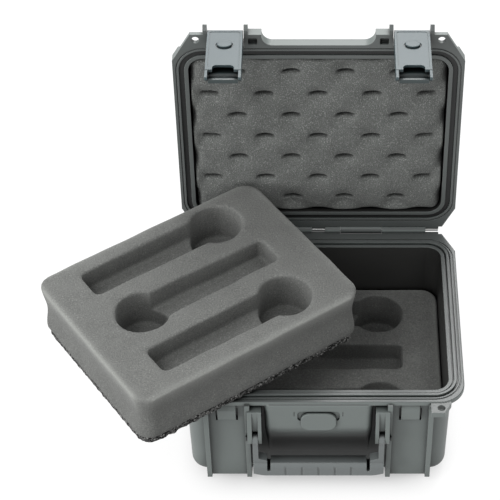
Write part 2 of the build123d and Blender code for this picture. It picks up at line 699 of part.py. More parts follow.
    # a pocket between the handle relief and each latch
    pocket_x = LATCH_X - LATCH_W / 2 - LATCH_SIDE_GAP - EAR_T - POCKET_W / 2
    pocket_y = front_y + POCKET_EDGE + POCKET_Y / 2
    with BuildSketch(rim):
        with Locations((-pocket_x, pocket_y), (pocket_x, pocket_y)):
            RectangleRounded(POCKET_W, POCKET_Y, POCKET_R)
    extrude(amount=POCKET_DEPTH, mode=Mode.SUBTRACT)

    # bores: hinge pin, latch pins and padlock holes
    with BuildSketch(lid_section):
        with Locations((0, HINGE_RISE)):
            Circle(HINGE_PIN_R + HINGE_RUN)
    extrude(amount=FLANGE_HALF_X, both=True, mode=Mode.SUBTRACT)
    for side in (-1, 1):
        with BuildSketch(lid_section.offset(side * LATCH_X)):
            with Locations((lid_y(PIVOT_Y), LATCH_PIVOT_UP)):
                Circle(LATCH_PIN_R + PIN_FIT)
        extrude(amount=LATCH_PIN_LONG / 2, both=True, mode=Mode.SUBTRACT)
        with BuildSketch(rim):
            with Locations((side * LOCK_X, lid_y(LOCK_HOLE_Y))):
                Circle(LOCK_R)
        extrude(amount=LID_DEPTH, mode=Mode.SUBTRACT)

finish(lid_shell.part, "lid_shell")

with BuildPart() as lid_gasket:
    with BuildSketch(rim.offset(SEAL_GROOVE_DEPTH)):
        with Locations((0, lid_y(0))):
            ring(SEAL_GROOVE_IN + SEAL_SIDE_GAP, SEAL_GROOVE_W - 2 * SEAL_SIDE_GAP)
    extrude(amount=-SEAL_T)

finish(lid_gasket.part, "lid_gasket")

with BuildPart() as lid_foam:
    with BuildSketch(rim.offset(LID_DEPTH - FOAM_SEAT - LID_FOAM_H)):
        with Locations((0, lid_y(0))):
            RectangleRounded(
                INNER_X - 2 * FOAM_GAP - 2 * LID_FOAM_INSET,
                INNER_Y - 2 * FOAM_GAP - 2 * LID_FOAM_INSET,
                LID_FOAM_R,
            )
    extrude(amount=LID_FOAM_H)
    foam_front = lid_y(FRONT_Y) + FOAM_GAP + LID_FOAM_INSET
    with BuildSketch(lid_section):
        bevel((foam_front, RIM_GAP / 2 + LID_DEPTH - FOAM_SEAT), LID_ROOM_BEVEL)
    extrude(amount=FLANGE_HALF_X, both=True, mode=Mode.SUBTRACT)

finish(lid_foam.part, "lid_foam")


# ---- Latches, drawn as they hang on the shut case, on the lid's planes ----
for name, side in SIDES:
    middle_x = side * LATCH_X
    middle = lid_section.offset(middle_x)

    with BuildPart() as latch_pin:
        with BuildSketch(middle):
            with Locations((lid_y(PIVOT_Y), LATCH_PIVOT_UP)):
                Circle(LATCH_PIN_R)
        extrude(amount=LATCH_PIN_LONG / 2 - PIN_FIT, both=True)

    finish(latch_pin.part, f"latch_pin_{name}")

    with BuildPart() as latch:
        plate_front = lid_y(LATCH_FACE_Y)
        plate_top = LATCH_PIVOT_UP + LATCH_TOP_ABOVE
        with BuildSketch(middle):
            with BuildLine():
                Polyline(
                    (plate_front, -LATCH_LONG),
                    (plate_front, plate_top - LATCH_TOP_R),
                    (plate_front + LATCH_TOP_R, plate_top),
                    (lid_y(PIVOT_Y), LATCH_PIVOT_UP + LATCH_KNUCKLE_R),
                    (lid_y(PIVOT_Y), LATCH_PIVOT_UP - LATCH_KNUCKLE_R),
                    (plate_front + LATCH_PLATE_T, LATCH_PIVOT_UP - 2 * LATCH_KNUCKLE_R),
                    (plate_front + LATCH_PLATE_T, -LATCH_LONG),
                    close=True,
                )
            make_face()
            with Locations((lid_y(PIVOT_Y), LATCH_PIVOT_UP)):
                Circle(LATCH_KNUCKLE_R)
        extrude(amount=LATCH_W / 2, both=True)
        # side cheeks
        for edge in (-1, 1):
            cheek = lid_section.offset(middle_x + edge * (LATCH_W - LATCH_CHEEK_T) / 2)
            with BuildSketch(cheek):
                with BuildLine():
                    Polyline(
                        (plate_front, LATCH_PIVOT_UP),
                        (lid_y(PIVOT_Y), LATCH_PIVOT_UP),
                        (lid_y(LATCH_BACK_Y), LATCH_PIVOT_UP - 2 * LATCH_KNUCKLE_R),
                        (lid_y(LATCH_BACK_Y), -LATCH_LONG),
                        (plate_front + LATCH_PLATE_T, -LATCH_LONG - LATCH_TIP),
                        (plate_front, -LATCH_LONG - LATCH_TIP),
                        close=True,
                    )
                make_face()
            extrude(amount=LATCH_CHEEK_T / 2, both=True)
        # raised border and an oval boss in a shallow moat on the outer face
        face = lid_front.offset(-plate_front)
        face_high = plate_top - LATCH_TOP_R + LATCH_LONG
        face_middle = (middle_x, face_high / 2 - LATCH_LONG)
        boss_at = (middle_x, -BOSS_DOWN)
        with BuildSketch(face):
            with Locations(face_middle):
                Rectangle(LATCH_W, face_high)
                RectangleRounded(
                    LATCH_W - 2 * LATCH_BORDER,
                    face_high - 2 * LATCH_BORDER,
                    LATCH_BORDER,
                    mode=Mode.SUBTRACT,
                )
        extrude(amount=LATCH_BORDER_H)
        with BuildSketch(face):
            with Locations(boss_at):
                Ellipse(BOSS_W / 2 + BOSS_MOAT, BOSS_H / 2 + BOSS_MOAT)
        extrude(amount=-BOSS_MOAT_DEPTH, mode=Mode.SUBTRACT)
        with BuildSketch(face.offset(-BOSS_MOAT_DEPTH)):
            with Locations(boss_at):
                Ellipse(BOSS_W / 2, BOSS_H / 2)
        extrude(amount=BOSS_MOAT_DEPTH + BOSS_T)
        fillet(latch.faces().sort_by(Axis(lid_origin, -lid_back))[-1].edges(), BOSS_EDGE_R)
        # finger notch and pin bores
        with BuildSketch(face.offset(LATCH_BORDER_H)):
            with Locations((middle_x, -LATCH_LONG)):
                RectangleRounded(NOTCH_W, 2 * NOTCH_H, NOTCH_R)
        extrude(amount=-LATCH_BORDER_H - LATCH_PLATE_T, mode=Mode.SUBTRACT)
        with BuildSketch(middle):
            with Locations((lid_y(PIVOT_Y), LATCH_PIVOT_UP)):
                Circle(LATCH_PIN_R + LATCH_RUN)
            with Locations((lid_y(TRIGGER_Y), -TRIGGER_PIVOT_DOWN)):
                Circle(TRIGGER_PIN_R + PIN_FIT)
        extrude(amount=LATCH_W / 2, both=True, mode=Mode.SUBTRACT)

    finish(latch.part, f"latch_{name}")

    with BuildPart() as trigger_pin:
        with BuildSketch(middle):
            with Locations((lid_y(TRIGGER_Y), -TRIGGER_PIVOT_DOWN)):
                Circle(TRIGGER_PIN_R)
        extrude(amount=LATCH_W / 2 - PIN_FIT, both=True)

    finish(trigger_pin.part, f"trigger_pin_{name}")

    with BuildPart() as trigger:
        arm_front = lid_y(TRIGGER_Y) - TRIGGER_T / 2
        arm_back = lid_y(TRIGGER_Y) + TRIGGER_T / 2
        hook_top = -CATCH_BOTTOM - RIM_GAP / 2 - HOOK_GAP
        lip_front = arm_back - TRIGGER_LIP_OUT
        with BuildSketch(middle):
            with BuildLine():
                Polyline(
                    (arm_front, hook_top),
                    (lid_y(CATCH_Y), hook_top),
                    (lid_y(CATCH_Y) + HOOK_LAP, hook_top - HOOK_LAP / 2),
                    (lid_y(CATCH_Y) + HOOK_LAP, hook_top - HOOK_H),
                    (arm_back, hook_top - 2 * HOOK_H),
                    (arm_back, -TRIGGER_END + TRIGGER_LIP_T / 2),
                    (arm_back - TRIGGER_LIP_T / 2, -TRIGGER_END),
                    (lip_front, -TRIGGER_END),
                    (lip_front, -TRIGGER_END + TRIGGER_LIP_T),
                    (arm_front, -TRIGGER_END + TRIGGER_LIP_T + TRIGGER_T / 2),
                    close=True,
                )
            make_face()
            with Locations((lid_y(TRIGGER_Y), -TRIGGER_PIVOT_DOWN)):
                Circle(TRIGGER_HUB_R)
                Circle(TRIGGER_PIN_R + TRIGGER_RUN, mode=Mode.SUBTRACT)
        extrude(amount=TRIGGER_W / 2, both=True)
        # the hook is only as wide as the catch
        trim = (TRIGGER_W - CATCH_W) / 2
        for edge in (-1, 1):
            with BuildSketch(lid_section.offset(middle_x + edge * (CATCH_W + trim) / 2)):
                with Locations((arm_back + HOOK_LAP + CATCH_OUT, hook_top - HOOK_H)):
                    Rectangle(2 * (HOOK_LAP + CATCH_OUT), 4 * HOOK_H)
            extrude(amount=trim / 2, both=True, mode=Mode.SUBTRACT)

    finish(trigger.part, f"latch_trigger_{name}")

    # leaf spring: flat against the plate, its bent end pushing the trigger's upper arm
    with BuildPart() as spring:
        spring_back = lid_y(LATCH_FACE_Y) + LATCH_PLATE_T
        spring_reach = arm_front - SPRING_GAP
        with BuildSketch(middle):
            with BuildLine():
                Polyline(
                    (spring_back, -SPRING_FOOT),
                    (spring_back, -SPRING_BEND),
                    (spring_reach - SPRING_T, -SPRING_END),
                    (spring_reach, -SPRING_END),
                    (spring_reach, -SPRING_END - SPRING_T),
                    (spring_back + SPRING_T, -SPRING_BEND - SPRING_T),
                    (spring_back + SPRING_T, -SPRING_FOOT),
                    close=True,
                )
            make_face()
        extrude(amount=SPRING_W / 2, both=True)

    finish(spring.part, f"latch_spring_{name}")


# ---- Handle: a U seen from the front, cut to a hub, arm and rounded grip seen from the side ----
with BuildPart() as handle:
    with BuildSketch(Plane.XZ.offset(-HANDLE_Y + HANDLE_SWEEP)):
        with BuildLine():
            arm_top = HANDLE_Z + HANDLE_HUB_R
            grip_low = RIM_Z - GRIP_BOTTOM
            grip_high = RIM_Z - GRIP_TOP
            Polyline(
                (0, grip_low),
                (ARM_IN + ARM_T - GRIP_CORNER_X, grip_low),
                (ARM_IN + ARM_T, grip_low + GRIP_CORNER_Z),
                (ARM_IN + ARM_T, arm_top),
                (ARM_IN, arm_top),
                (ARM_IN, grip_high + SHOULDER_H),
                (ARM_IN - SHOULDER_W, grip_high + SHOULDER_H / 2),
                (ARM_IN - SHOULDER_W, grip_high),
                (0, grip_high),
            )
            mirror(about=Plane.YZ)
        make_face()
    extrude(amount=-2 * HANDLE_SWEEP)
    with BuildSketch(tub_section):
        grip_middle = (GRIP_BACK_Y - GRIP_DEPTH / 2, RIM_Z - (GRIP_TOP + GRIP_BOTTOM) / 2)
        with Locations(grip_middle):
            RectangleRounded(GRIP_DEPTH, GRIP_BOTTOM - GRIP_TOP, GRIP_SECTION_R)
        with BuildLine():
            Polyline(
                (HANDLE_Y - ARM_DEPTH / 2, HANDLE_Z),
                (HANDLE_Y + ARM_DEPTH / 2, HANDLE_Z),
                (grip_middle[0] + ARM_DEPTH / 2, grip_middle[1]),
                (grip_middle[0] - ARM_DEPTH / 2, grip_middle[1]),
                close=True,
            )
        make_face()
        with Locations((HANDLE_Y, HANDLE_Z)):
            Circle(HANDLE_HUB_R)
            Circle(HANDLE_PIN_R + HANDLE_RUN, mode=Mode.SUBTRACT)
    extrude(amount=2 * ARM_IN, both=True, mode=Mode.INTERSECT)
    # notches inside the shoulders and shallow finger grooves on the front of the grip
    notch_x = ARM_IN - SHOULDER_W - SHOULDER_NOTCH_W / 2
    with BuildSketch(Plane.XZ.offset(-GRIP_BACK_Y)):
        with Locations((-notch_x, grip_high), (notch_x, grip_high)):
            RectangleRounded(SHOULDER_NOTCH_W, 2 * SHOULDER_NOTCH_H, SHOULDER_NOTCH_W / 2 - PIN_FIT)
    extrude(amount=GRIP_DEPTH, mode=Mode.SUBTRACT)
    with BuildSketch(Plane.XZ.offset(GRIP_DEPTH - GRIP_BACK_Y)):
        with GridLocations(GRIP_GROOVE_PITCH, 1, GROOVE_COUNT, 1):
            with Locations((0, grip_middle[1])):
                Rectangle(GRIP_GROOVE_W, GRIP_BOTTOM - GRIP_TOP)
    extrude(amount=-GRIP_GROOVE_DEEP, mode=Mode.SUBTRACT)

finish(handle.part, "handle")

for name, side in SIDES:
    with BuildPart() as handle_pin:
        with BuildSketch(tub_section.offset(side * LUG_IN)):
            with Locations((HANDLE_Y, HANDLE_Z)):
                Circle(HANDLE_PIN_R)
        extrude(amount=side * (HANDLE_PIN_END - LUG_IN - PIN_FIT))

    finish(handle_pin.part, f"handle_pin_{name}")


# ---- Pressure valve, through the panel behind the handle ----
valve_at = (0, RIM_Z - VALVE_DOWN)
pocket_y = FRONT_Y - VALVE_POCKET
with BuildPart() as valve_cover:
    with BuildSketch(panel_face):
        with Locations(valve_at):
            RectangleRounded(VALVE_W, VALVE_H, VALVE_CORNER_R)
    extrude(amount=VALVE_T)
    fillet(valve_cover.faces().sort_by(Axis.Y)[0].edges(), VALVE_EDGE_R)

finish(valve_cover.part, "valve_cover")

with BuildPart() as valve_body:
    stem_long = pocket_y + SEAL_RING_T + VALVE_NUT_T - PANEL_Y
    with BuildSketch(panel_face):
        with Locations(valve_at):
            Circle(VALVE_STEM_R)
            Circle(VALVE_VENT_R, mode=Mode.SUBTRACT)
    extrude(amount=-stem_long)
    with BuildSketch(panel_face):
        with Locations(valve_at):
            Circle(MEMBRANE_R + PIN_FIT)
    extrude(amount=-MEMBRANE_T, mode=Mode.SUBTRACT)

finish(valve_body.part, "valve_body")

with BuildPart() as valve_membrane:
    with BuildSketch(panel_face):
        with Locations(valve_at):
            Circle(MEMBRANE_R)
    extrude(amount=-MEMBRANE_T)

finish(valve_membrane.part, "valve_membrane")

seal_plane = Plane.XZ.offset(-pocket_y)
with BuildPart() as valve_seal:
    with BuildSketch(seal_plane):
        with Locations(valve_at):
            Circle(SEAL_RING_R)
            Circle(VALVE_STEM_R + PIN_FIT, mode=Mode.SUBTRACT)
    extrude(amount=-SEAL_RING_T)

finish(valve_seal.part, "valve_seal")

with BuildPart() as valve_nut:
    with BuildSketch(seal_plane.offset(-SEAL_RING_T)):
        with Locations(valve_at):
            RegularPolygon(VALVE_NUT_R, 6)
            Circle(VALVE_STEM_R + PIN_FIT, mode=Mode.SUBTRACT)
    extrude(amount=-VALVE_NUT_T)

finish(valve_nut.part, "valve_nut")


# ---- Foam trays: one in the tub, one lifted out and laid askew on the rim ----
turn = radians(OUT_TRAY_TURN)
out_plane = Plane(
    origin=(OUT_TRAY_X, OUT_TRAY_Y, RIM_Z + TONGUE_H + OUT_TRAY_GAP),
    x_dir=(cos(turn), sin(turn), 0),
    z_dir=(0, 0, 1),
)
in_tub = Plane.XY.offset(FLOOR + FOAM_SEAT)
for name, tray_plane, depth, relaxed, bed_shift in (
    ("lower", in_tub, TUB_DEPTH, 0, 0),
    ("upper", out_plane, TUB_DEPTH / 2, OUT_TRAY_RELAX, OUT_BED_SHIFT),
):
    tray_top = TRAY_H + relaxed
    foot_x = INNER_X - 2 * (FOAM_GAP + depth * SLOPE)
    foot_y = INNER_Y - 2 * (FOAM_GAP + depth * SLOPE)

    with BuildPart() as backing:
        with BuildSketch(tray_plane):
            RectangleRounded(foot_x - 2 * BACKING_INSET, foot_y - 2 * BACKING_INSET, TRAY_CORNER_R)
        extrude(amount=BACKING_T)

    finish(backing.part, f"{name}_tray_backing")

    with BuildPart() as foam:
        grown = 2 * BACKING_T * SLOPE
        with BuildSketch(tray_plane.offset(BACKING_T)):
            RectangleRounded(foot_x + grown, foot_y + grown, TRAY_CORNER_R)
        extrude(amount=tray_top - BACKING_T, taper=-DRAFT)
        # three microphone beds, the middle one turned end for end
        for row, way in ((-1, 1), (0, -1), (1, 1)):
            row_y = row * ROW_PITCH + bed_shift
            with BuildSketch(tray_plane.offset(tray_top)):
                with BuildLine():
                    Polyline(
                        (way * HEAD_X, row_y + SLOT_FOAM_W / 2),
                        (-way * SLOT_END_X, row_y + SLOT_TAIL_W / 2),
                        (-way * SLOT_END_X, row_y - SLOT_TAIL_W / 2),
                        (way * HEAD_X, row_y - SLOT_FOAM_W / 2),
                        close=True,
                    )
                bed = make_face()
                tail = bed.vertices().filter_by(lambda v: abs(v.X + way * SLOT_END_X) < PIN_FIT)
                fillet(tail, SLOT_FOAM_R)
            extrude(amount=-SLOT_FOAM_DEPTH, mode=Mode.SUBTRACT)
            with BuildSketch(tray_plane.offset(tray_top)):
                with Locations((way * HEAD_X, row_y)):
                    Circle(HEAD_R)
            extrude(amount=-HEAD_DEPTH, mode=Mode.SUBTRACT)

    finish(foam.part, f"{name}_tray_foam")
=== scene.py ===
"""Microphone case: plastics, rubber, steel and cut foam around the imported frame.

Lengths are metres in the frame's own axes: X along the hinge, -Y towards the latches, +Z up.
"""

import json
import math

import bmesh
import bpy
import numpy as np
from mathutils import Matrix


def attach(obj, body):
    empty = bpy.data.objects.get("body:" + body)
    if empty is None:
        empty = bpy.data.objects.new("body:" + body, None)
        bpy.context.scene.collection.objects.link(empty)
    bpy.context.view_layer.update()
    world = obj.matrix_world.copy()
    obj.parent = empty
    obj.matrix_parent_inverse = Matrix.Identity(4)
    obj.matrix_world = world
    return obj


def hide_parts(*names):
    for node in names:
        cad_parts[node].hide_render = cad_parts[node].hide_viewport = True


bl_info = {
    "name": "Microphone case",
    "version": (1, 0, 0),
    "blender": (4, 5, 0),
    "location": "3D View > Sidebar > Case",
    "description": "Dresses a hinged hard case in plastic, rubber, steel and cut foam",
    "category": "Object",
}

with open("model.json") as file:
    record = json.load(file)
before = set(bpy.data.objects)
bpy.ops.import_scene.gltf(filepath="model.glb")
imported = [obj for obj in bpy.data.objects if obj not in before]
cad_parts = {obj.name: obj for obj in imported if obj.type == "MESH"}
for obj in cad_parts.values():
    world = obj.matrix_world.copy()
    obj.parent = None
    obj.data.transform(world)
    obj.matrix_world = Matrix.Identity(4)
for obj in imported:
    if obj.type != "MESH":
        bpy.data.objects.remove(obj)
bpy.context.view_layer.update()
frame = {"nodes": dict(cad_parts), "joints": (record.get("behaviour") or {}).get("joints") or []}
NODES = frame["nodes"]
MM = 0.001

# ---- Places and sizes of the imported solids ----
HINGE = np.array(next(j["pos_m"] for j in frame["joints"] if j["name"] == "lid_hinge"))
RIM_DROP = 1.35 * MM  # from the hinge's axis down to the tub's sealing face
RIM_Z = HINGE[2] - RIM_DROP
LID_FACE = -0.95 * MM  # height of the lid's sealing face in the lid's own axes
CAVITY_HALF = (120.65 * MM, 93.75 * MM)
TUB_DEPTH = 115 * MM
LID_DEPTH = 42 * MM
LID_OPEN = math.radians(92)
OUT_TRAY_TURN = math.radians(35.4)  # of the tray that lies on the rim

# rows are the lid's own X, back and up directions while it stands open
LID_AXES = np.array(
    (
        (1, 0, 0),
        (0, math.cos(LID_OPEN), -math.sin(LID_OPEN)),
        (0, math.sin(LID_OPEN), math.cos(LID_OPEN)),
    )
)


def srgb(red, green, blue):
    """A screen colour, 0 to 255, as linear values."""
    shares = np.array((red, green, blue)) / 255
    linear = np.where(shares <= 0.04045, shares / 12.92, ((shares + 0.055) / 1.055) ** 2.4)
    return tuple(float(v) for v in linear)


# ---- What a user would change ----
def colour(name, about, default):
    """A colour property with its linear default."""
    return bpy.props.FloatVectorProperty(
        name=name, description=about, subtype="COLOR", size=3, min=0, max=1, default=default
    )


def length(name, about, default, most):
    """A length property in metres."""
    return bpy.props.FloatProperty(
        name=name, description=about, subtype="DISTANCE", unit="LENGTH", min=0, max=most, default=default
    )


def power(name, about, default):
    """A lamp's power in watts."""
    return bpy.props.FloatProperty(
        name=name, description=about, subtype="POWER", unit="POWER", min=0, default=default
    )


class CaseFinish(bpy.types.PropertyGroup):
    """Colours of the case."""

    shell: colour("Shell", "Moulded plastic of tub and lid", srgb(109, 116, 114))
    # inside and rim are darker shell colours: painted shade in the cavity and on the sealing faces
    inside: colour("Inside", "Plastic inside the cavity", srgb(50, 50, 49))
    rim: colour("Rim", "Sealing faces of tub and lid", srgb(88, 92, 91))
    latch: colour("Latch", "Latch plates", srgb(61, 76, 80))
    trigger: colour("Trigger", "Latch levers", srgb(50, 60, 61))
    handle: colour("Handle", "Carrying handle", srgb(106, 111, 111))
    seal: colour("Seal", "Rubber seals", srgb(28, 29, 29))
    steel: colour("Steel", "Pins and springs", srgb(205, 206, 205))
    blacked: colour("Blacked steel", "Pins of the handle", srgb(58, 61, 61))
    tray: colour("Tray foam", "Cut foam of the trays", srgb(106, 107, 105))
    lid_foam: colour("Lid foam", "Egg-crate foam of the lid", srgb(100, 102, 100))
    backing: colour("Backing", "Rebonded foam under the trays", srgb(92, 92, 91))


class FoamShape(bpy.types.PropertyGroup):
    """Sizes of the foam."""

    pitch: length("Pitch", "Distance between the valleys of one row of the lid's foam", 50.8 * MM, 0.2)
    depth: length("Depth", "Depth of which the lid foam's valleys and slits take shares", 20 * MM, 0.035)
    bevel: length("Bevel", "Slope cut along the back edges of the lid's foam", 25 * MM, 0.035)
    shoulder: length("Shoulder", "Radius of a tray's rolled top edges", 2.6 * MM, 0.014)
    waist: length("Waist", "How far a tray's sides draw in half-way down", 2.8 * MM, 0.01)
    voxel: length("Voxel", "Grid of the remeshed trays", 1.5 * MM, 0.01)


class StageSettings(bpy.types.PropertyGroup):
    """Light and floor."""

    floor_size: length("Floor", "Width of the floor", 8.0, 50.0)
    key: power("Key light", "Power of the main lamp", 29)
    fill: power("Fill light", "Power of the fill lamp", 6)
    side: power("Side light", "Power of the low lamp at the left", 40)
    back: power("Back light", "Power of the lamp behind", 43)
    sky: bpy.props.FloatProperty(
        name="Sky", description="Strength of the even light all round", default=0.62, min=0
    )
    bounce: bpy.props.FloatProperty(
        name="Bounce", description="Share of light that the floor throws back", default=0.25, min=0, max=1
    )


# ---- Meshes ----
MERGE = 1e-6  # points of a CAD mesh nearer than this are one point
SOFTEN = 0.5  # how far a point moves towards its neighbours' middle in each round
TINY = 1e-9  # keeps a division off zero


def to_lid(points):
    """Frame points in the lid's own axes, measured from the hinge."""
    return (points - HINGE) @ LID_AXES.T


def from_lid(points):
    """The lid's own coordinates back in the frame."""
    return points @ LID_AXES + HINGE


def turned(points, angle):
    """Points turned about the upright axis."""
    c, s = math.cos(angle), math.sin(angle)
    return points @ np.array(((c, s, 0), (-s, c, 0), (0, 0, 1)))


def points_of(mesh):
    """A mesh's points as one array."""
    values = np.empty(len(mesh.vertices) * 3, np.float32)
    mesh.vertices.foreach_get("co", values)
    return values.reshape(-1, 3).astype(float)


def set_points(mesh, points):
    """Puts an array of points back into its mesh."""
    mesh.vertices.foreach_set("co", points.astype(np.float32).ravel())
    mesh.update()


def face_outwards(mesh, merge=0.0):
    """Turns a mesh's faces outwards, after joining the points that lie nearer than merge."""
    work = bmesh.new()
    work.from_mesh(mesh)
    if merge:
        bmesh.ops.remove_doubles(work, verts=work.verts, dist=merge)
    bmesh.ops.recalc_face_normals(work, faces=work.faces)
    work.to_mesh(mesh)
    work.free()


def smooth(share):
    """0 to 1 with level ends: 3t^2 - 2t^3."""
    t = np.clip(share, 0, 1)
    return t * t * (3 - 2 * t)


def near_side(points, half, axis, band):
    """1 on a block's two sides across one axis, falling smoothly to 0 a band's width inside them."""
    return smooth((np.abs(points[:, axis]) - half[axis] + band) / band)


def lumps(points, size, seed, waves=14):
    """Even random lumps from about -1 to 1: sine waves of one length in seeded directions, summed."""
    random = np.random.default_rng(seed)
    ways = random.normal(size=(waves, 3))
    ways *= (2 * math.pi / size) / np.linalg.norm(ways, axis=1, keepdims=True)
    phases = random.uniform(0, 2 * math.pi, waves)
    return np.sin(points @ ways.T + phases).sum(1) / math.sqrt(waves / 2) / 2


def put(name, mesh, material, body):
    """A finished mesh as a piece that rides on a body."""
    mesh.name = name
    mesh.materials.clear()
    mesh.materials.append(material)
    mesh.shade_smooth()
    piece = bpy.data.objects.new(name, mesh)
    bpy.context.scene.collection.objects.link(piece)
    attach(piece, body)
    return piece


def voxel_copy(node, turn, size, rounds):
    """A node's solid remeshed on an even grid that is turned with it, and its edges softened.

    Returns the mesh in its own axes, centred on the node, and that centre.
    """
    mesh = NODES[node].data.copy()
    face_outwards(mesh, MERGE)
    points = turned(points_of(mesh), -turn)
    centre = (points.min(0) + points.max(0)) / 2
    set_points(mesh, points - centre)
    rough = bpy.data.objects.new("rough", mesh)
    bpy.context.scene.collection.objects.link(rough)
    remesh = rough.modifiers.new("Remesh", "REMESH")
    remesh.mode = "VOXEL"
    remesh.voxel_size = size
    soften = rough.modifiers.new("Soften", "SMOOTH")
    soften.factor = SOFTEN
    soften.iterations = rounds
    graph = bpy.context.evaluated_depsgraph_get()
    result = bpy.data.meshes.new_from_object(rough.evaluated_get(graph))
    bpy.data.objects.remove(rough)
    return result, centre


def ring_outline(half_x, half_y, radius, count):
    """Points at even steps round a rounded rectangle, each side straight and then its corner's arc."""
    straight = 2 * np.array((half_y - radius, half_x - radius, half_y - radius, half_x - radius))
    arc = radius * math.pi / 2
    total = straight.sum() + 4 * arc
    at = np.linspace(0, total, count, endpoint=False)
    points = np.zeros((count, 2))
    start = 0.0
    corners = ((1, 1), (-1, 1), (-1, -1), (1, -1))
    for side in range(4):
        way = side * math.pi / 2
        along = np.array((-math.sin(way), math.cos(way)))
        out = np.array((math.cos(way), math.sin(way)))
        corner = np.array(corners[side]) * (half_x - radius, half_y - radius)
        run = (at >= start) & (at < start + straight[side])
        points[run] = corner + out * radius - along * (start + straight[side] - at[run])[:, None]
        start += straight[side]
        bend = (at >= start) & (at < start + arc)
        angle = way + (at[bend] - start) / radius
        points[bend] = corner + radius * np.stack((np.cos(angle), np.sin(angle)), 1)
        start += arc
    return points


def ring_mesh(name, rings):
    """A closed skin over rings of points, from one pole to the other; each pole is one point."""
    count, around = rings.shape[:2]
    inner = rings[1:-1].reshape(-1, 3)
    points = np.vstack((rings[0, :1], inner, rings[-1, :1]))
    here = np.arange(around)
    after = (here + 1) % around
    last = len(points) - 1
    base = last - around
    rows = 1 + np.arange(count - 3)[:, None] * around
    first_fan = np.stack((np.zeros_like(here), 1 + here, 1 + after), 1)
    quads = np.stack((rows + here, rows + around + here, rows + around + after, rows + after), -1)
    last_fan = np.stack((base + after, base + here, np.full_like(here, last)), 1)
    faces = first_fan.tolist() + quads.reshape(-1, 4).tolist() + last_fan.tolist()
    mesh = bpy.data.meshes.new(name)
    mesh.from_pydata(points.tolist(), [], faces)
    mesh.update()
    return mesh


# ---- Shader building ----
MIX_FIRST, MIX_SECOND, MIX_RESULT = 6, 7, 2  # the Mix node's colour sockets
SAMPLES = 6  # of each rounded or shaded edge


def add(tree, kind, inputs=None, **settings):
    """A node with its settings, and its inputs set or linked by name or number."""
    node = tree.nodes.new(kind)
    for key, value in settings.items():
        setattr(node, key, value)
    for socket, value in (inputs or {}).items():
        if isinstance(value, bpy.types.NodeSocket):
            tree.links.new(value, node.inputs[socket])
        else:
            node.inputs[socket].default_value = value
    return node


def math_node(tree, operation, *values, clamp=False):
    """The result of one sum on numbers or sockets."""
    inputs = dict(enumerate(values))
    return add(tree, "ShaderNodeMath", inputs, operation=operation, use_clamp=clamp).outputs[0]


def vector_node(tree, operation, *values):
    """The result of one sum on vectors; a dot product gives a number."""
    node = add(tree, "ShaderNodeVectorMath", dict(enumerate(values)), operation=operation)
    return node.outputs["Value" if operation == "DOT_PRODUCT" else "Vector"]


def ramp(tree, value, start, end, low=0.0, high=1.0, kind="LINEAR"):
    """A value carried from start and end to low and high, and held there past both."""
    inputs = {"Value": value, "From Min": start, "From Max": end, "To Min": low, "To Max": high}
    return add(tree, "ShaderNodeMapRange", inputs, interpolation_type=kind).outputs[0]


def axes_of(tree, vector):
    """The three parts of a vector."""
    return add(tree, "ShaderNodeSeparateXYZ", {0: vector}).outputs


def noise(tree, where, scale, detail=2.0):
    """Noise from 0 to 1, with about scale swells to the metre."""
    inputs = {"Vector": where, "Scale": scale, "Detail": detail}
    return add(tree, "ShaderNodeTexNoise", inputs).outputs[0]


def swing(tree, value, size):
    """A value from 0 to 1 as a swing about 0."""
    return math_node(tree, "MULTIPLY", math_node(tree, "SUBTRACT", value, 0.5), size)


def blend_colour(tree, share, first, second, kind="MIX"):
    """Two colours mixed by a share."""
    node = add(tree, "ShaderNodeMix", {"Factor": share}, data_type="RGBA", blend_type=kind)
    for number, value in ((MIX_FIRST, first), (MIX_SECOND, second)):
        if isinstance(value, bpy.types.NodeSocket):
            tree.links.new(value, node.inputs[number])
        else:
            node.inputs[number].default_value = (*value, 1)
    return node.outputs[MIX_RESULT]


def times(tree, tone, value):
    """A colour multiplied by one value."""
    grey = add(tree, "ShaderNodeCombineColor", {part: value for part in range(3)}).outputs[0]
    return blend_colour(tree, 1.0, tone, grey, "MULTIPLY")


# ---- Shared shader groups ----
MOTTLE_SCALE = 22.0  # swells to the metre of a plastic's slow change of tone
CLOUD_SCALE = 60.0  # and of a foam's
CLOUD_SWING, GRIT_SWING = 0.30, 0.9
SPECK_FULL = 0.85  # noise at which a speck is at its brightest
OPEN_ENOUGH = 0.85  # openness from which a surface isn't darkened
LEAN_START, LEAN_FULL = 0.98, 0.80  # cosine between rounded and true normal at an edge


def new_group(name, inputs, outputs):
    """An empty shader group with named inputs and outputs."""
    group = bpy.data.node_groups.new(name, "ShaderNodeTree")
    for label, kind, default in inputs:
        socket = group.interface.new_socket(label, in_out="INPUT", socket_type=kind)
        socket.default_value = default
    for label in outputs:
        group.interface.new_socket(label, in_out="OUTPUT", socket_type="NodeSocketFloat")
    return group, add(group, "NodeGroupInput").outputs, add(group, "NodeGroupOutput").inputs


def box_mask_group(name):
    """Mask that is 1 inside a box and falls to 0 over Soft outside it."""
    inputs = (
        ("Vector", "NodeSocketVector", (0, 0, 0)),
        ("Centre", "NodeSocketVector", (0, 0, 0)),
        ("Half", "NodeSocketVector", (1, 1, 1)),
        ("Soft", "NodeSocketFloat", 0.2 * MM),
    )
    group, given, result = new_group(name, inputs, ("Mask",))
    away = vector_node(group, "ABSOLUTE", vector_node(group, "SUBTRACT", given["Vector"], given["Centre"]))
    past = axes_of(group, vector_node(group, "SUBTRACT", away, given["Half"]))
    far = math_node(group, "MAXIMUM", math_node(group, "MAXIMUM", past[0], past[1]), past[2])
    share = math_node(group, "DIVIDE", far, given["Soft"])
    group.links.new(math_node(group, "SUBTRACT", 1, share, clamp=True), result["Mask"])
    return group


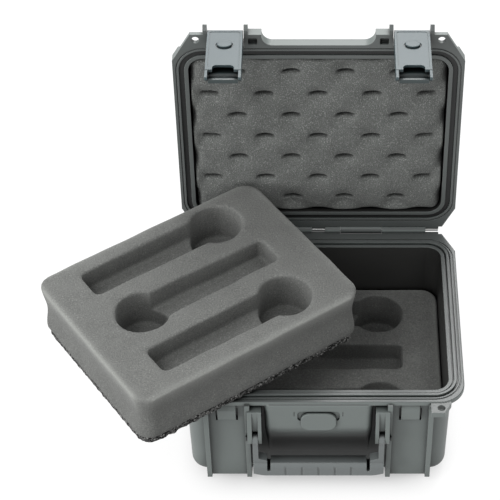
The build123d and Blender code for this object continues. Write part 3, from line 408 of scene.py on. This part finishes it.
def grain_group(name):
    """Fine moulded grain: Height for a bump, and Shade, a slow change of tone near 1."""
    inputs = (
        ("Vector", "NodeSocketVector", (0, 0, 0)),
        ("Fineness", "NodeSocketFloat", 900.0),
        ("Mottle", "NodeSocketFloat", 0.06),
    )
    group, given, result = new_group(name, inputs, ("Height", "Shade"))
    slow = swing(group, noise(group, given["Vector"], MOTTLE_SCALE, 3.0), given["Mottle"])
    group.links.new(noise(group, given["Vector"], given["Fineness"]), result["Height"])
    group.links.new(math_node(group, "ADD", slow, 1.0), result["Shade"])
    return group


def cells_group(name):
    """Open-cell foam: Height of the cells, Tone, a change near 1, and Speck, bright cell walls."""
    inputs = (
        ("Vector", "NodeSocketVector", (0, 0, 0)),
        ("Fineness", "NodeSocketFloat", 800.0),
        ("Specks", "NodeSocketFloat", 0.66),
    )
    group, given, result = new_group(name, inputs, ("Height", "Tone", "Speck"))
    cell = add(group, "ShaderNodeTexVoronoi", {"Vector": given["Vector"], "Scale": given["Fineness"]})
    grit = noise(group, given["Vector"], given["Fineness"], 1.0)
    cloud = swing(group, noise(group, given["Vector"], CLOUD_SCALE, 4.0), CLOUD_SWING)
    change = math_node(group, "ADD", cloud, swing(group, grit, GRIT_SWING))
    group.links.new(cell.outputs["Distance"], result["Height"])
    group.links.new(math_node(group, "ADD", change, 1.0), result["Tone"])
    group.links.new(ramp(group, grit, given["Specks"], SPECK_FULL), result["Speck"])
    return group


def painted_recess_shade_group(name):
    """Open, for painted shade: 1 on open surfaces, less in grooves, under edges and deep in corners."""
    inputs = (("Reach", "NodeSocketFloat", 0.02), ("Strength", "NodeSocketFloat", 1.0))
    group, given, result = new_group(name, inputs, ("Open",))
    around = add(group, "ShaderNodeAmbientOcclusion", {"Distance": given["Reach"]}, samples=SAMPLES)
    level = ramp(group, around.outputs["AO"], 0.0, OPEN_ENOUGH)
    group.links.new(math_node(group, "POWER", level, given["Strength"], clamp=True), result["Open"])
    return group


def edge_group(name):
    """Edge: 1 along sharp edges and 0 on flats, from how far a rounded normal leans off the true one."""
    group, given, result = new_group(name, (("Width", "NodeSocketFloat", 0.8 * MM),), ("Edge",))
    soft = add(group, "ShaderNodeBevel", {"Radius": given["Width"]}, samples=SAMPLES)
    true = add(group, "ShaderNodeNewGeometry").outputs["True Normal"]
    lean = vector_node(group, "DOT_PRODUCT", soft.outputs[0], true)
    group.links.new(ramp(group, lean, LEAN_START, LEAN_FULL), result["Edge"])
    return group


SHADER_GROUPS = {
    "Box mask": box_mask_group,
    "Moulded grain": grain_group,
    "Foam cells": cells_group,
    "Recess": painted_recess_shade_group,
    "Edge": edge_group,
}


def use_group(tree, name, inputs=None):
    """The outputs of a shared group placed in a material; the group is built when first used."""
    group = bpy.data.node_groups.get(name) or SHADER_GROUPS[name](name)
    return add(tree, "ShaderNodeGroup", inputs, node_tree=group).outputs


# ---- Materials ----
# painted highlight along sharp edges: its pale tint and how strongly it shows
EDGE_HIGHLIGHT_TINT = srgb(205, 210, 208)
PART_EDGE_HIGHLIGHT, SHELL_EDGE_HIGHLIGHT = 0.2, 0.14  # how strongly the painted highlight along edges shows
PAINTED_RECESS_SHADES = ((34 * MM, 0.95), (5 * MM, 0.8))  # reach and strength of the broad and the fine painted shade in recesses

# painted shade behind the handle's grip: axis, where the darkening starts and is full, the middle and half
# sizes of its box
PANEL_PAINTED_SHADE = (2, 0.085, 0.056, (0, -0.111, 0.045), (0.053, 0.013, 0.05))
GRIP_PAINTED_SHADE = (1, -0.119, -0.1075, (0, -0.105, 0.052), (0.042, 0.03, 0.014))
PAINTED_SHADE_TONE = (0.004, 0.004, 0.004)
PAINTED_SHADE_SHARE = 0.97
PAINTED_SHADE_SOFT = 9 * MM

PLASTIC_GRAIN, FINE_GRAIN, STEEL_GRAIN = 0.04 * MM, 0.02 * MM, 0.01 * MM
SHELL_ROUGHNESS, RIM_ROUGHNESS = 0.44, 0.30
SHELL_EDGE = 0.6 * MM
CAVITY_INSET = 0.4 * MM  # keeps the painted shade of the inside off the rim's edge
RIM_REACH = 0.3  # wider than the case
RIM_BAND = 5 * MM  # how far above and below the sealing face its ridges and grooves still count
RIM_SOFT = 0.1 * MM
RIM_LEVEL = 0.6  # how squarely a face looks out of the shell to count as sealing face

# painted highlight along the trays' top lip
LIP_HIGHLIGHT_TINT = srgb(168, 170, 166)
LIP_HIGHLIGHT_SHARE = 0.6
FOAM_SHEEN, FOAM_SHEEN_ROUGHNESS = 0.12, 0.4

CRUMBS_SCALE = 640.0
CRUMB_DEPTH = 0.7 * MM
PALE_CRUMB = srgb(150, 150, 148)
PALE_START, PALE_FULL = 0.84, 0.97  # a crumb's random value where it starts to pale and is palest
CRUMB_RANGE = (0.3, 1.0, 0.12, 1.6)  # random values, and the tones that they give

STREAK_SCALE = 90.0
STREAK_STRETCH = (1, 30, 30)  # fine across the pins and long along X
DULL_SHARE = 0.8


def material_base(name, roughness, specular=0.5, metallic=0.0):
    """A new material, its tree and its shader with plain values set."""
    material = bpy.data.materials.new(name)
    material.use_nodes = True
    tree = material.node_tree
    shader = tree.nodes["Principled BSDF"]
    shader.inputs["Roughness"].default_value = roughness
    shader.inputs["Specular IOR Level"].default_value = specular
    shader.inputs["Metallic"].default_value = metallic
    return material, tree, shader


def bump_in(tree, shader, height, distance, bevel=None):
    """A bump on the shader's normal, over rounded edges if a bevel radius is given."""
    bump = add(tree, "ShaderNodeBump", {"Height": height, "Distance": distance, "Strength": 1.0})
    if bevel:
        soft = add(tree, "ShaderNodeBevel", {"Radius": bevel}, samples=SAMPLES)
        tree.links.new(soft.outputs[0], bump.inputs["Normal"])
    tree.links.new(bump.outputs[0], shader.inputs["Normal"])


def box_mask(tree, where, middle, half, soft=0.2 * MM):
    """1 inside a box, falling to 0 over a soft border."""
    place = {"Vector": where, "Centre": middle, "Half": half, "Soft": soft}
    return use_group(tree, "Box mask", place)["Mask"]


def painted_recess_shade(tree, tone, reach, strength):
    """A colour darkened by painted shade in the recesses within reach."""
    return times(tree, tone, use_group(tree, "Recess", {"Reach": reach, "Strength": strength})["Open"])


def painted_shade_and_highlight(tree, tone, shade, highlight):
    """A colour with its slow mottle, painted shade in recesses and grooves, and a painted highlight along
    edges.
    """
    tone = times(tree, tone, shade)
    # painted highlight along sharp edges
    highlight_share = math_node(tree, "MULTIPLY", use_group(tree, "Edge")["Edge"], highlight)
    tone = blend_colour(tree, highlight_share, tone, EDGE_HIGHLIGHT_TINT)
    # painted shade in recesses and grooves
    for reach, strength in PAINTED_RECESS_SHADES:
        tone = painted_recess_shade(tree, tone, reach, strength)
    return tone


def painted_shade_behind_grip(tree, tone, where, axis, start, full, middle, half):
    """A colour with painted shade: darker along one axis, inside a box of the recess behind the grip."""
    fade = ramp(tree, axes_of(tree, where)[axis], start, full, high=PAINTED_SHADE_SHARE)
    box = box_mask(tree, where, middle, half, PAINTED_SHADE_SOFT)
    return blend_colour(tree, math_node(tree, "MULTIPLY", fade, box), tone, PAINTED_SHADE_TONE)


def plastic(name, base, roughness, grain_depth=PLASTIC_GRAIN, bevel=0.5 * MM, mottle=0.06, dark=None):
    """Plain moulded plastic with a fine grain and softened edges, with painted shade where dark says."""
    material, tree, shader = material_base(name, roughness)
    where = add(tree, "ShaderNodeTexCoord").outputs["Object"]
    grain = use_group(tree, "Moulded grain", {"Vector": where, "Mottle": mottle})
    tone = tuple(base)
    if dark:
        tone = painted_shade_behind_grip(tree, tone, where, *dark)
    tree.links.new(painted_shade_and_highlight(tree, tone, grain["Shade"], PART_EDGE_HIGHLIGHT), shader.inputs["Base Color"])
    bump_in(tree, shader, grain["Height"], grain_depth, bevel)
    return material


def shell_plastic(name, finish, lid):
    """Shell plastic, with painted shade: darker inside the cavity and on the sealing face.

    The lid's pattern is worked out in its own axes, so that it stays put when the lid moves.
    """
    material, tree, shader = material_base(name, SHELL_ROUGHNESS)
    coords = add(tree, "ShaderNodeTexCoord")
    where, facing = coords.outputs["Object"], coords.outputs["Normal"]
    if lid:
        where = vector_node(tree, "SUBTRACT", where, tuple(HINGE))
        where, facing = (
            add(tree, "ShaderNodeMapping", {"Vector": vector, "Rotation": (LID_OPEN, 0, 0)}).outputs[0]
            for vector in (where, facing)
        )
        middle = (0, -HINGE[1], LID_FACE + LID_DEPTH / 2)
        depth, face_z, face_way = LID_DEPTH, LID_FACE, -1
    else:
        middle = (0, 0, RIM_Z - TUB_DEPTH / 2)
        depth, face_z, face_way = TUB_DEPTH, RIM_Z, 1
    cavity = box_mask(tree, where, middle, (*CAVITY_HALF, depth / 2 - CAVITY_INSET))
    towards = vector_node(tree, "DOT_PRODUCT", vector_node(tree, "SUBTRACT", where, middle), facing)
    inside = math_node(tree, "MULTIPLY", cavity, math_node(tree, "LESS_THAN", towards, 0.0))
    band = box_mask(tree, where, (0, middle[1], face_z), (RIM_REACH, RIM_REACH, RIM_BAND), RIM_SOFT)
    outward = math_node(tree, "MULTIPLY", axes_of(tree, facing)[2], face_way)
    sealing = math_node(tree, "MULTIPLY", band, math_node(tree, "GREATER_THAN", outward, RIM_LEVEL))
    grain = use_group(tree, "Moulded grain", {"Vector": where})
    # painted shade: darker colours on the sealing face and inside the cavity
    tone = blend_colour(tree, sealing, tuple(finish.shell), tuple(finish.rim))
    tone = blend_colour(tree, inside, tone, tuple(finish.inside))
    # painted shade in the recess behind the handle's grip
    if not lid:
        tone = painted_shade_behind_grip(tree, tone, where, *PANEL_PAINTED_SHADE)
    tree.links.new(painted_shade_and_highlight(tree, tone, grain["Shade"], SHELL_EDGE_HIGHLIGHT), shader.inputs["Base Color"])
    rough = ramp(tree, sealing, 0.0, 1.0, SHELL_ROUGHNESS, RIM_ROUGHNESS)
    tree.links.new(rough, shader.inputs["Roughness"])
    bump_in(tree, shader, grain["Height"], PLASTIC_GRAIN, SHELL_EDGE)
    return material


def foam(name, base, fineness, specks, speck_tint, depth, reach, strength):
    """Cut open-cell foam with fine cells and bright specks, painted shade in its recesses, and a paler
    painted highlight where its lip value says.
    """
    material, tree, shader = material_base(name, roughness=0.96, specular=0.12)
    shader.inputs["Sheen Weight"].default_value = FOAM_SHEEN
    shader.inputs["Sheen Roughness"].default_value = FOAM_SHEEN_ROUGHNESS
    where = add(tree, "ShaderNodeTexCoord").outputs["Object"]
    cells = use_group(tree, "Foam cells", {"Vector": where, "Fineness": fineness, "Specks": specks})
    tone = times(tree, tuple(base), cells["Tone"])
    tone = blend_colour(tree, cells["Speck"], tone, speck_tint)
    # painted highlight along the top lip
    lip = add(tree, "ShaderNodeAttribute", attribute_name="Lip").outputs["Fac"]
    tone = blend_colour(tree, math_node(tree, "MULTIPLY", lip, LIP_HIGHLIGHT_SHARE), tone, LIP_HIGHLIGHT_TINT)
    # painted shade in the foam's recesses
    tree.links.new(painted_recess_shade(tree, tone, reach, strength), shader.inputs["Base Color"])
    bump_in(tree, shader, cells["Height"], depth)
    return material


def rebonded(name, base):
    """Rebonded foam: small crumbs from black to mid grey with a few pale ones."""
    material, tree, shader = material_base(name, roughness=0.95, specular=0.15)
    where = add(tree, "ShaderNodeTexCoord").outputs["Object"]
    crumbs = add(tree, "ShaderNodeTexVoronoi", {"Vector": where, "Scale": CRUMBS_SCALE})
    pick = add(tree, "ShaderNodeSeparateColor", {0: crumbs.outputs["Color"]}).outputs
    tone = times(tree, tuple(base), ramp(tree, pick[1], *CRUMB_RANGE))
    tone = blend_colour(tree, ramp(tree, pick[0], PALE_START, PALE_FULL), tone, PALE_CRUMB)
    tree.links.new(tone, shader.inputs["Base Color"])
    bump_in(tree, shader, crumbs.outputs["Distance"], CRUMB_DEPTH)
    return material


def drawn_steel(name, base):
    """Bright steel with fine streaks along the pins."""
    material, tree, shader = material_base(name, roughness=0.28, metallic=1.0)
    where = add(tree, "ShaderNodeTexCoord").outputs["Object"]
    stretched = add(tree, "ShaderNodeMapping", {"Vector": where, "Scale": STREAK_STRETCH}).outputs[0]
    bright = tuple(base)
    dull = tuple(DULL_SHARE * v for v in bright)
    streaks = noise(tree, stretched, STREAK_SCALE)
    tree.links.new(blend_colour(tree, streaks, dull, bright), shader.inputs["Base Color"])
    return material


# ---- Pieces shown as packed ----
def dress(material, *names):
    """A material on CAD nodes that are shown as they are."""
    for name in names:
        piece = NODES[name]
        if not piece.material_slots:
            piece.data.materials.append(material)
        for slot in piece.material_slots:
            slot.material = material


class CASE_OT_shells(bpy.types.Operator):
    """Plastic of the tub and the lid"""

    bl_idname = "case.shells"
    bl_label = "Shells"

    def execute(self, context):
        finish = context.scene.case_finish
        dress(shell_plastic("Tub plastic", finish, lid=False), "base_shell")
        dress(shell_plastic("Lid plastic", finish, lid=True), "lid_shell")
        return {"FINISHED"}


class CASE_OT_seals(bpy.types.Operator):
    """Rubber of the lid seal and the valve"""

    bl_idname = "case.seals"
    bl_label = "Seals"

    def execute(self, context):
        rubber = plastic("Seal rubber", context.scene.case_finish.seal, roughness=0.5, bevel=0.4 * MM)
        dress(rubber, "lid_gasket", "valve_seal", "valve_membrane")
        return {"FINISHED"}


class CASE_OT_latches(bpy.types.Operator):
    """Plates and levers of both latches"""

    bl_idname = "case.latches"
    bl_label = "Latches"

    def execute(self, context):
        finish = context.scene.case_finish
        plate = plastic("Latch plastic", finish.latch, roughness=0.37, grain_depth=FINE_GRAIN, mottle=0.05)
        lever = plastic("Lever plastic", finish.trigger, roughness=0.36, grain_depth=FINE_GRAIN)
        dress(plate, "latch_left", "latch_right")
        dress(lever, "latch_trigger_left", "latch_trigger_right")
        return {"FINISHED"}


class CASE_OT_handle(bpy.types.Operator):
    """Carrying handle and pressure valve"""

    bl_idname = "case.handle"
    bl_label = "Handle and valve"

    def execute(self, context):
        finish = context.scene.case_finish
        # the handle's grip gets painted shade at its back
        dress(plastic("Handle plastic", finish.handle, roughness=0.4, dark=GRIP_PAINTED_SHADE), "handle")
        valve = plastic("Valve plastic", finish.shell, roughness=0.42)
        dress(valve, "valve_cover", "valve_body", "valve_nut")
        return {"FINISHED"}


class CASE_OT_pins(bpy.types.Operator):
    """Steel pins and springs"""

    bl_idname = "case.pins"
    bl_label = "Pins"

    def execute(self, context):
        finish = context.scene.case_finish
        handle_pins = ("handle_pin_left", "handle_pin_right")
        steel = [name for name in NODES if ("_pin" in name or "spring" in name) and name not in handle_pins]
        dress(drawn_steel("Pin steel", finish.steel), *steel)
        blacked = plastic("Blacked steel", finish.blacked, roughness=0.45, grain_depth=STEEL_GRAIN)
        dress(blacked, *handle_pins)
        return {"FINISHED"}


# ---- Egg-crate foam ----
SLIT_LONG = 0.17  # half a slit's length and width, as shares of the pitch
SLIT_WIDE = 0.032
VALLEY_SHARE, EDGE_VALLEY_SHARE, SLIT_SHARE = 0.2, 0.6, 0.4  # shares of the foam's depth
EDGE_BAND = 16 * MM  # where the valleys deepen and the slits die out
CRATE_CORNER = 12 * MM
CRATE_EDGE = 2.5 * MM  # radius of the face's rolled edge
EDGE_SINK = 0.12  # share of the side's height that the rolled edge takes up
FACE_RINGS, EDGE_RINGS, SIDE_RINGS, SLOPE_RINGS, BACK_RINGS = 130, 5, 7, 7, 8
RING_POINTS = 640
CRATE_LUMP, CRATE_LUMP_SIZE = 0.15 * MM, 9 * MM


def crate_face(x, y, half, shape):
    """How far the egg-crate face lies back: broad valleys by turns, and a short level slit in each.

    The valleys are (1 + cos x cos y) / 2 cubed, deeper towards the edges; a slit is
    exp(-u^8 - v^2), u along and v across, and dies out towards the edges.
    """
    turn = 2 * math.pi / shape.pitch
    valleys = ((1 + np.cos(turn * x) * np.cos(turn * y)) / 2) ** 3
    slits = 0
    for shift in (0, 0.5):
        along, across = (v / shape.pitch - shift - np.round(v / shape.pitch - shift) for v in (x, y))
        slits = slits + np.exp(-((along / SLIT_LONG) ** 8) - (across / SLIT_WIDE) ** 2)
    rim = smooth(1 - np.minimum(half[0] - np.abs(x), half[1] - np.abs(y)) / EDGE_BAND)
    broad = (VALLEY_SHARE + EDGE_VALLEY_SHARE * rim) * valleys
    return shape.depth * (broad + SLIT_SHARE * (1 - rim) * slits)


def crate_rings(low, high, shape):
    """Rings of the egg-crate, from the middle of its face over the sides to the middle of its back."""
    half, middle = (high - low) / 2, (high + low) / 2
    thick = high[2] - low[2]
    slope_start = thick - shape.bevel

    def ring(scale, inset, sink, level=0.0):
        """One closed row: the outline drawn in and scaled, sunk from the face towards a level."""
        corner = max(CRATE_CORNER - inset, MM)
        outline = ring_outline(half[0] - inset, half[1] - inset, corner, RING_POINTS) * scale
        top = crate_face(outline[:, 0], outline[:, 1], half, shape)
        z = top + (level - top) * sink
        return np.stack((outline[:, 0] + middle[0], outline[:, 1] + middle[1], z + low[2]), 1)

    rings = [ring(scale, CRATE_EDGE, 0) for scale in np.linspace(0, 1, FACE_RINGS)]
    for angle in np.linspace(0, math.pi / 2, EDGE_RINGS)[1:]:
        inset, sink = CRATE_EDGE * (1 - math.sin(angle)), EDGE_SINK * (1 - math.cos(angle))
        rings.append(ring(1, inset, sink, slope_start))
    rings += [ring(1, 0, sink, slope_start) for sink in np.linspace(EDGE_SINK, 1, SIDE_RINGS)[1:]]
    for run in np.linspace(0, shape.bevel, SLOPE_RINGS)[1:]:
        rings.append(ring(1, run, 1, slope_start + run))
    rings += [ring(scale, shape.bevel, 1, thick) for scale in np.linspace(1, 0, BACK_RINGS)[1:]]
    return np.array(rings)


class CASE_OT_lid_foam(bpy.types.Operator):
    """Egg-crate foam in the lid"""

    bl_idname = "case.lid_foam"
    bl_label = "Lid foam"

    def execute(self, context):
        scene = context.scene
        local = to_lid(points_of(NODES["lid_foam"].data))
        mesh = ring_mesh("Lid foam", crate_rings(local.min(0), local.max(0), scene.case_foam))
        points = from_lid(points_of(mesh))
        points += CRATE_LUMP * lumps(points, CRATE_LUMP_SIZE, seed=4)[:, None] * LID_AXES[2]
        set_points(mesh, points)
        face_outwards(mesh)
        surface = foam(
            "Lid foam",
            scene.case_finish.lid_foam,
            fineness=1000.0,
            specks=0.57,
            speck_tint=srgb(158, 160, 158),
            depth=0.6 * MM,
            reach=8 * MM,
            strength=0.75,
        )
        piece = put("egg_crate", mesh, surface, "lid")
        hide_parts("lid_foam")
        return {"FINISHED"}


# ---- Trays ----
TRAYS = (("lower", 0.0), ("upper", OUT_TRAY_TURN))
TRAY_CORNER = 15 * MM
SIDE_BAND = 15 * MM  # how far in the sides' waist is felt
SIDE_BOW = 0.35
LIP_DOWN = 11 * MM  # how fast the painted highlight on the lip dies out downwards and inwards
LIP_IN = 2.5 * MM
TRAY_LUMP, TRAY_LUMP_SIZE = 0.25 * MM, 34 * MM
TRAY_LUMP_WAYS = (0.6, 0.6, 1)  # less across than up

BACKING_VOXEL = 1.7 * MM
BACKING_ROUGHNESS = (0.3 * MM, 0.8 * MM)  # of the sides that face along X and along Y
CRUMB_SIZE, SMALL_CRUMB_SIZE = 7 * MM, 3.4 * MM
SMALL_CRUMB_SHARE = 0.7
CRUMB_SINK = 0.6  # keeps most crumbs inside the solid's own side
CRUMB_BAND = 6 * MM


def shouldered(points, half, corner, radius):
    """Points of a block with its top outer edges rolled over.

    Where a point lies u and v from the centre of the roll, both under its radius, it moves to
    (u, v) max(u, v) / sqrt(u^2 + v^2), which takes the square edge to a quarter circle.
    """
    flat = np.abs(points[:, :2]) - (half[:2] - corner)
    beyond = np.linalg.norm(np.maximum(flat, 0), axis=1)
    reach = beyond + np.minimum(flat.max(1), 0)
    out = np.clip(reach - (corner - radius), 0, None)
    high = np.clip(points[:, 2] - (half[2] - radius), 0, None)
    length = np.hypot(out, high)
    share = np.where(length > 0, np.maximum(out, high) / np.maximum(length, TINY), 1)
    way = np.maximum(flat, 0) * np.sign(points[:, :2])
    straight = (flat == flat.max(1, keepdims=True)) * np.sign(points[:, :2])
    way = np.where(beyond[:, None] > 0, way / np.maximum(beyond, TINY)[:, None], straight)
    moved = points.copy()
    moved[:, :2] -= way * (out * (1 - share))[:, None]
    moved[:, 2] -= high * (1 - share)
    return moved


def waisted(points, half, waist):
    """Points of a block with its sides drawn in by sin^2 of the way down.

    The draw is bowed by 1 + SIDE_BOW (1 - t^2), with t from -1 to 1 along a side.
    """
    moved = points.copy()
    down = (half[2] - moved[:, 2]) / (2 * half[2])
    draw = waist * np.sin(math.pi * np.clip(down, 0, 1)) ** 2
    for axis, other in ((0, 1), (1, 0)):
        near = near_side(moved, half, axis, SIDE_BAND)
        bow = 1 + SIDE_BOW * (1 - (moved[:, other] / half[other]) ** 2)
        moved[:, axis] -= np.sign(moved[:, axis]) * near * draw * bow
    return moved


def mark_lip_highlight(mesh, points, half):
    """The painted highlight along the top lip, a value on the mesh's points: e^-(depth below the top)
    e^-(distance in from the sides).
    """
    below = (half[2] - points[:, 2]) / LIP_DOWN
    inwards = (half[:2] - np.abs(points[:, :2])).min(1) / LIP_IN
    lip = mesh.attributes.new("Lip", "FLOAT", "POINT")
    lip.data.foreach_set("value", np.exp(-below - inwards).astype(np.float32))


class CASE_OT_tray_foam(bpy.types.Operator):
    """Cut foam of both trays"""

    bl_idname = "case.tray_foam"
    bl_label = "Tray foam"

    def execute(self, context):
        scene = context.scene
        shape = scene.case_foam
        surface = foam(
            "Tray foam",
            scene.case_finish.tray,
            fineness=760.0,
            specks=0.66,
            speck_tint=srgb(138, 140, 137),
            depth=0.25 * MM,
            reach=30 * MM,
            strength=0.3,
        )
        for name, turn in TRAYS:
            node = f"{name}_tray_foam"
            mesh, centre = voxel_copy(node, turn, shape.voxel, rounds=7)
            points = points_of(mesh)
            half = np.abs(points).max(0)
            mark_lip_highlight(mesh, points, half)
            points = waisted(shouldered(points, half, TRAY_CORNER, shape.shoulder), half, shape.waist)
            uneven = lumps(points, TRAY_LUMP_SIZE, seed=11)[:, None] * np.array(TRAY_LUMP_WAYS)
            set_points(mesh, turned(points + TRAY_LUMP * uneven + centre, turn))
            piece = put(f"{name}_tray", mesh, surface, f"{name}_tray")
            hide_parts(node)
        return {"FINISHED"}


class CASE_OT_tray_backing(bpy.types.Operator):
    """Rebonded foam glued under both trays"""

    bl_idname = "case.tray_backing"
    bl_label = "Tray backing"

    def execute(self, context):
        surface = rebonded("Rebonded foam", context.scene.case_finish.backing)
        for name, turn in TRAYS:
            node = f"{name}_tray_backing"
            mesh, centre = voxel_copy(node, turn, BACKING_VOXEL, rounds=2)
            points = points_of(mesh)
            half = np.abs(points).max(0)
            crumbs = lumps(points, CRUMB_SIZE, seed=21)
            crumbs += SMALL_CRUMB_SHARE * lumps(points, SMALL_CRUMB_SIZE, seed=22) - CRUMB_SINK
            for axis, rough in enumerate(BACKING_ROUGHNESS):
                near = near_side(points, half, axis, CRUMB_BAND)
                points[:, axis] += np.sign(points[:, axis]) * near * rough * crumbs
            set_points(mesh, turned(points + centre, turn))
            piece = put(f"{name}_backing", mesh, surface, f"{name}_tray")
            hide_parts(node)
        return {"FINISHED"}


# ---- Stage ----
CAMERA_DISTANCE = 1.7839
CAMERA_ELEVATION = math.radians(46.645)
CAMERA_LENS = 134.3  # millimetres
CAMERA_SHIFT = (-0.1371, 0.1319)  # shares of the picture's width

LAMP_TARGET = (0, 0, 0.12)
# place and size of each lamp, under the name of the setting that holds its power
LAMPS = {
    "key": ((-1.1, -1.2, 2.5), 1.3),
    "fill": ((1.8, -1.2, 1.3), 1.8),
    "side": ((-2.2, -1.3, 0.7), 1.2),
    "back": ((0.2, 1.6, 1.9), 1.4),
}

# the floor's painted shadow under and behind the case: where each ramp starts and is full
SHADE_ACROSS = (0.14, 0.075)
SHADE_BEHIND = (0.36, 0.23)
SHADE_IN_FRONT = (-0.14, -0.06)
SHADE_SHARE = 0.94
SHADE_TONE = (0.02, 0.02, 0.02)
FLOOR_TONE = (0.9, 0.9, 0.9)
FLOOR_GLOW = 1.06
GLOW_SHARE, SHADED_GLOW_SHARE = 0.85, 0.02


def aimed(place, target):
    """Rotation that points a lamp or the camera from place at target."""
    way = np.array(target) - np.array(place)
    flat = math.hypot(way[0], way[1])
    return (math.atan2(flat, -way[2]), 0, math.atan2(-way[0], way[1]))


def seen_by(tree, *rays):
    """1 for light paths of the named kinds."""
    paths = add(tree, "ShaderNodeLightPath").outputs
    seen = 0.0
    for ray in rays:
        seen = math_node(tree, "MAXIMUM", seen, paths[f"Is {ray} Ray"])
    return seen


def floor_material(stage):
    """White to the eye but for its painted shadow, and plain grey for the light that it throws back."""
    material, tree, shader = material_base("Floor", roughness=0.9, specular=0.0)
    seen = seen_by(tree, "Camera", "Glossy", "Transmission")
    across, along = axes_of(tree, add(tree, "ShaderNodeTexCoord").outputs["Object"])[:2]
    across = math_node(tree, "ABSOLUTE", across)
    # painted shadow under and behind the case
    shaded = 1.0
    for value, ends in ((across, SHADE_ACROSS), (along, SHADE_BEHIND), (along, SHADE_IN_FRONT)):
        shaded = math_node(tree, "MULTIPLY", shaded, ramp(tree, value, *ends, kind="SMOOTHSTEP"))
    tone = blend_colour(tree, seen, (stage.bounce,) * 3, FLOOR_TONE)
    tone = blend_colour(tree, math_node(tree, "MULTIPLY", shaded, SHADE_SHARE), tone, SHADE_TONE)
    tree.links.new(tone, shader.inputs["Base Color"])
    glow = add(tree, "ShaderNodeEmission", {"Color": (1, 1, 1, 1), "Strength": FLOOR_GLOW})
    glowing = ramp(tree, shaded, 0.0, 1.0, GLOW_SHARE, SHADED_GLOW_SHARE)
    share = math_node(tree, "MULTIPLY", seen, glowing)
    both = add(tree, "ShaderNodeMixShader", {0: share, 1: shader.outputs[0], 2: glow.outputs[0]})
    tree.links.new(both.outputs[0], tree.nodes["Material Output"].inputs["Surface"])
    return material


def add_floor(stage):
    """A level square floor."""
    half = stage.floor_size / 2
    mesh = bpy.data.meshes.new("Floor")
    corners = [(-half, -half, 0), (half, -half, 0), (half, half, 0), (-half, half, 0)]
    mesh.from_pydata(corners, [], [(0, 1, 2, 3)])
    mesh.materials.append(floor_material(stage))
    floor = bpy.data.objects.new("floor", mesh)
    bpy.context.scene.collection.objects.link(floor)


def add_world(stage):
    """Even light all round, and pure white where it is looked at."""
    world = bpy.data.worlds.new("Studio")
    bpy.context.scene.world = world
    world.use_nodes = True
    tree = world.node_tree
    strength = ramp(tree, seen_by(tree, "Camera", "Transmission"), 0.0, 1.0, stage.sky, 1.0)
    sky = tree.nodes["Background"]
    sky.inputs["Color"].default_value = (1, 1, 1, 1)
    tree.links.new(strength, sky.inputs["Strength"])


def add_lamp(name, place, power_set, size):
    """A square soft lamp aimed at the case."""
    light = bpy.data.lights.new(name, "AREA")
    light.energy = power_set
    light.size = size
    holder = bpy.data.objects.new(name, light)
    holder.location = place
    holder.rotation_euler = aimed(place, LAMP_TARGET)
    bpy.context.scene.collection.objects.link(holder)


def add_camera():
    """A long lens that looks down at the middle of the rim from the front, shifted off to one side."""
    scene = bpy.context.scene
    lens = bpy.data.cameras.new("Camera")
    lens.lens = CAMERA_LENS
    lens.shift_x, lens.shift_y = CAMERA_SHIFT
    camera = bpy.data.objects.new("Camera", lens)
    way = np.array((0, -math.cos(CAMERA_ELEVATION), math.sin(CAMERA_ELEVATION)))
    camera.location = way * CAMERA_DISTANCE + (0, 0, RIM_Z)
    camera.rotation_euler = aimed(camera.location, (0, 0, RIM_Z))
    scene.collection.objects.link(camera)
    scene.camera = camera


class CASE_OT_stage(bpy.types.Operator):
    """Floor, lamps, world and camera"""

    bl_idname = "case.stage"
    bl_label = "Stage"

    def execute(self, context):
        stage = context.scene.case_stage
        add_floor(stage)
        add_world(stage)
        for name, (place, size) in LAMPS.items():
            add_lamp(name.capitalize(), place, getattr(stage, name), size)
        add_camera()
        context.scene.view_settings.view_transform = "Standard"
        return {"FINISHED"}


# ---- Add-on ----
OPERATORS = (
    CASE_OT_shells,
    CASE_OT_seals,
    CASE_OT_latches,
    CASE_OT_handle,
    CASE_OT_pins,
    CASE_OT_lid_foam,
    CASE_OT_tray_foam,
    CASE_OT_tray_backing,
    CASE_OT_stage,
)
GROUPS = (("case_finish", CaseFinish), ("case_foam", FoamShape), ("case_stage", StageSettings))


class CASE_PT_sidebar(bpy.types.Panel):
    """Lists the case's pieces and settings"""

    bl_label = "Microphone case"
    bl_idname = "CASE_PT_sidebar"
    bl_space_type = "VIEW_3D"
    bl_region_type = "UI"
    bl_category = "Case"

    def draw(self, context):
        for operator in OPERATORS:
            self.layout.operator(operator.bl_idname)
        for name, _ in GROUPS:
            settings = getattr(context.scene, name)
            box = self.layout.box()
            for setting in settings.__annotations__:
                box.prop(settings, setting)


def register():
    """Registers the settings, the operators and the panel."""
    for name, group in GROUPS:
        bpy.utils.register_class(group)
        setattr(bpy.types.Scene, name, bpy.props.PointerProperty(type=group))
    for item in (*OPERATORS, CASE_PT_sidebar):
        bpy.utils.register_class(item)


def unregister():
    """Takes back what register did."""
    for item in (CASE_PT_sidebar, *reversed(OPERATORS)):
        bpy.utils.unregister_class(item)
    for name, group in reversed(GROUPS):
        delattr(bpy.types.Scene, name)
        bpy.utils.unregister_class(group)


def main():
    """Builds the whole case through its operators."""
    register()
    for operator in OPERATORS:
        group, name = operator.bl_idname.split(".")
        getattr(getattr(bpy.ops, group), name)()


if __name__ == "__main__":
    main()
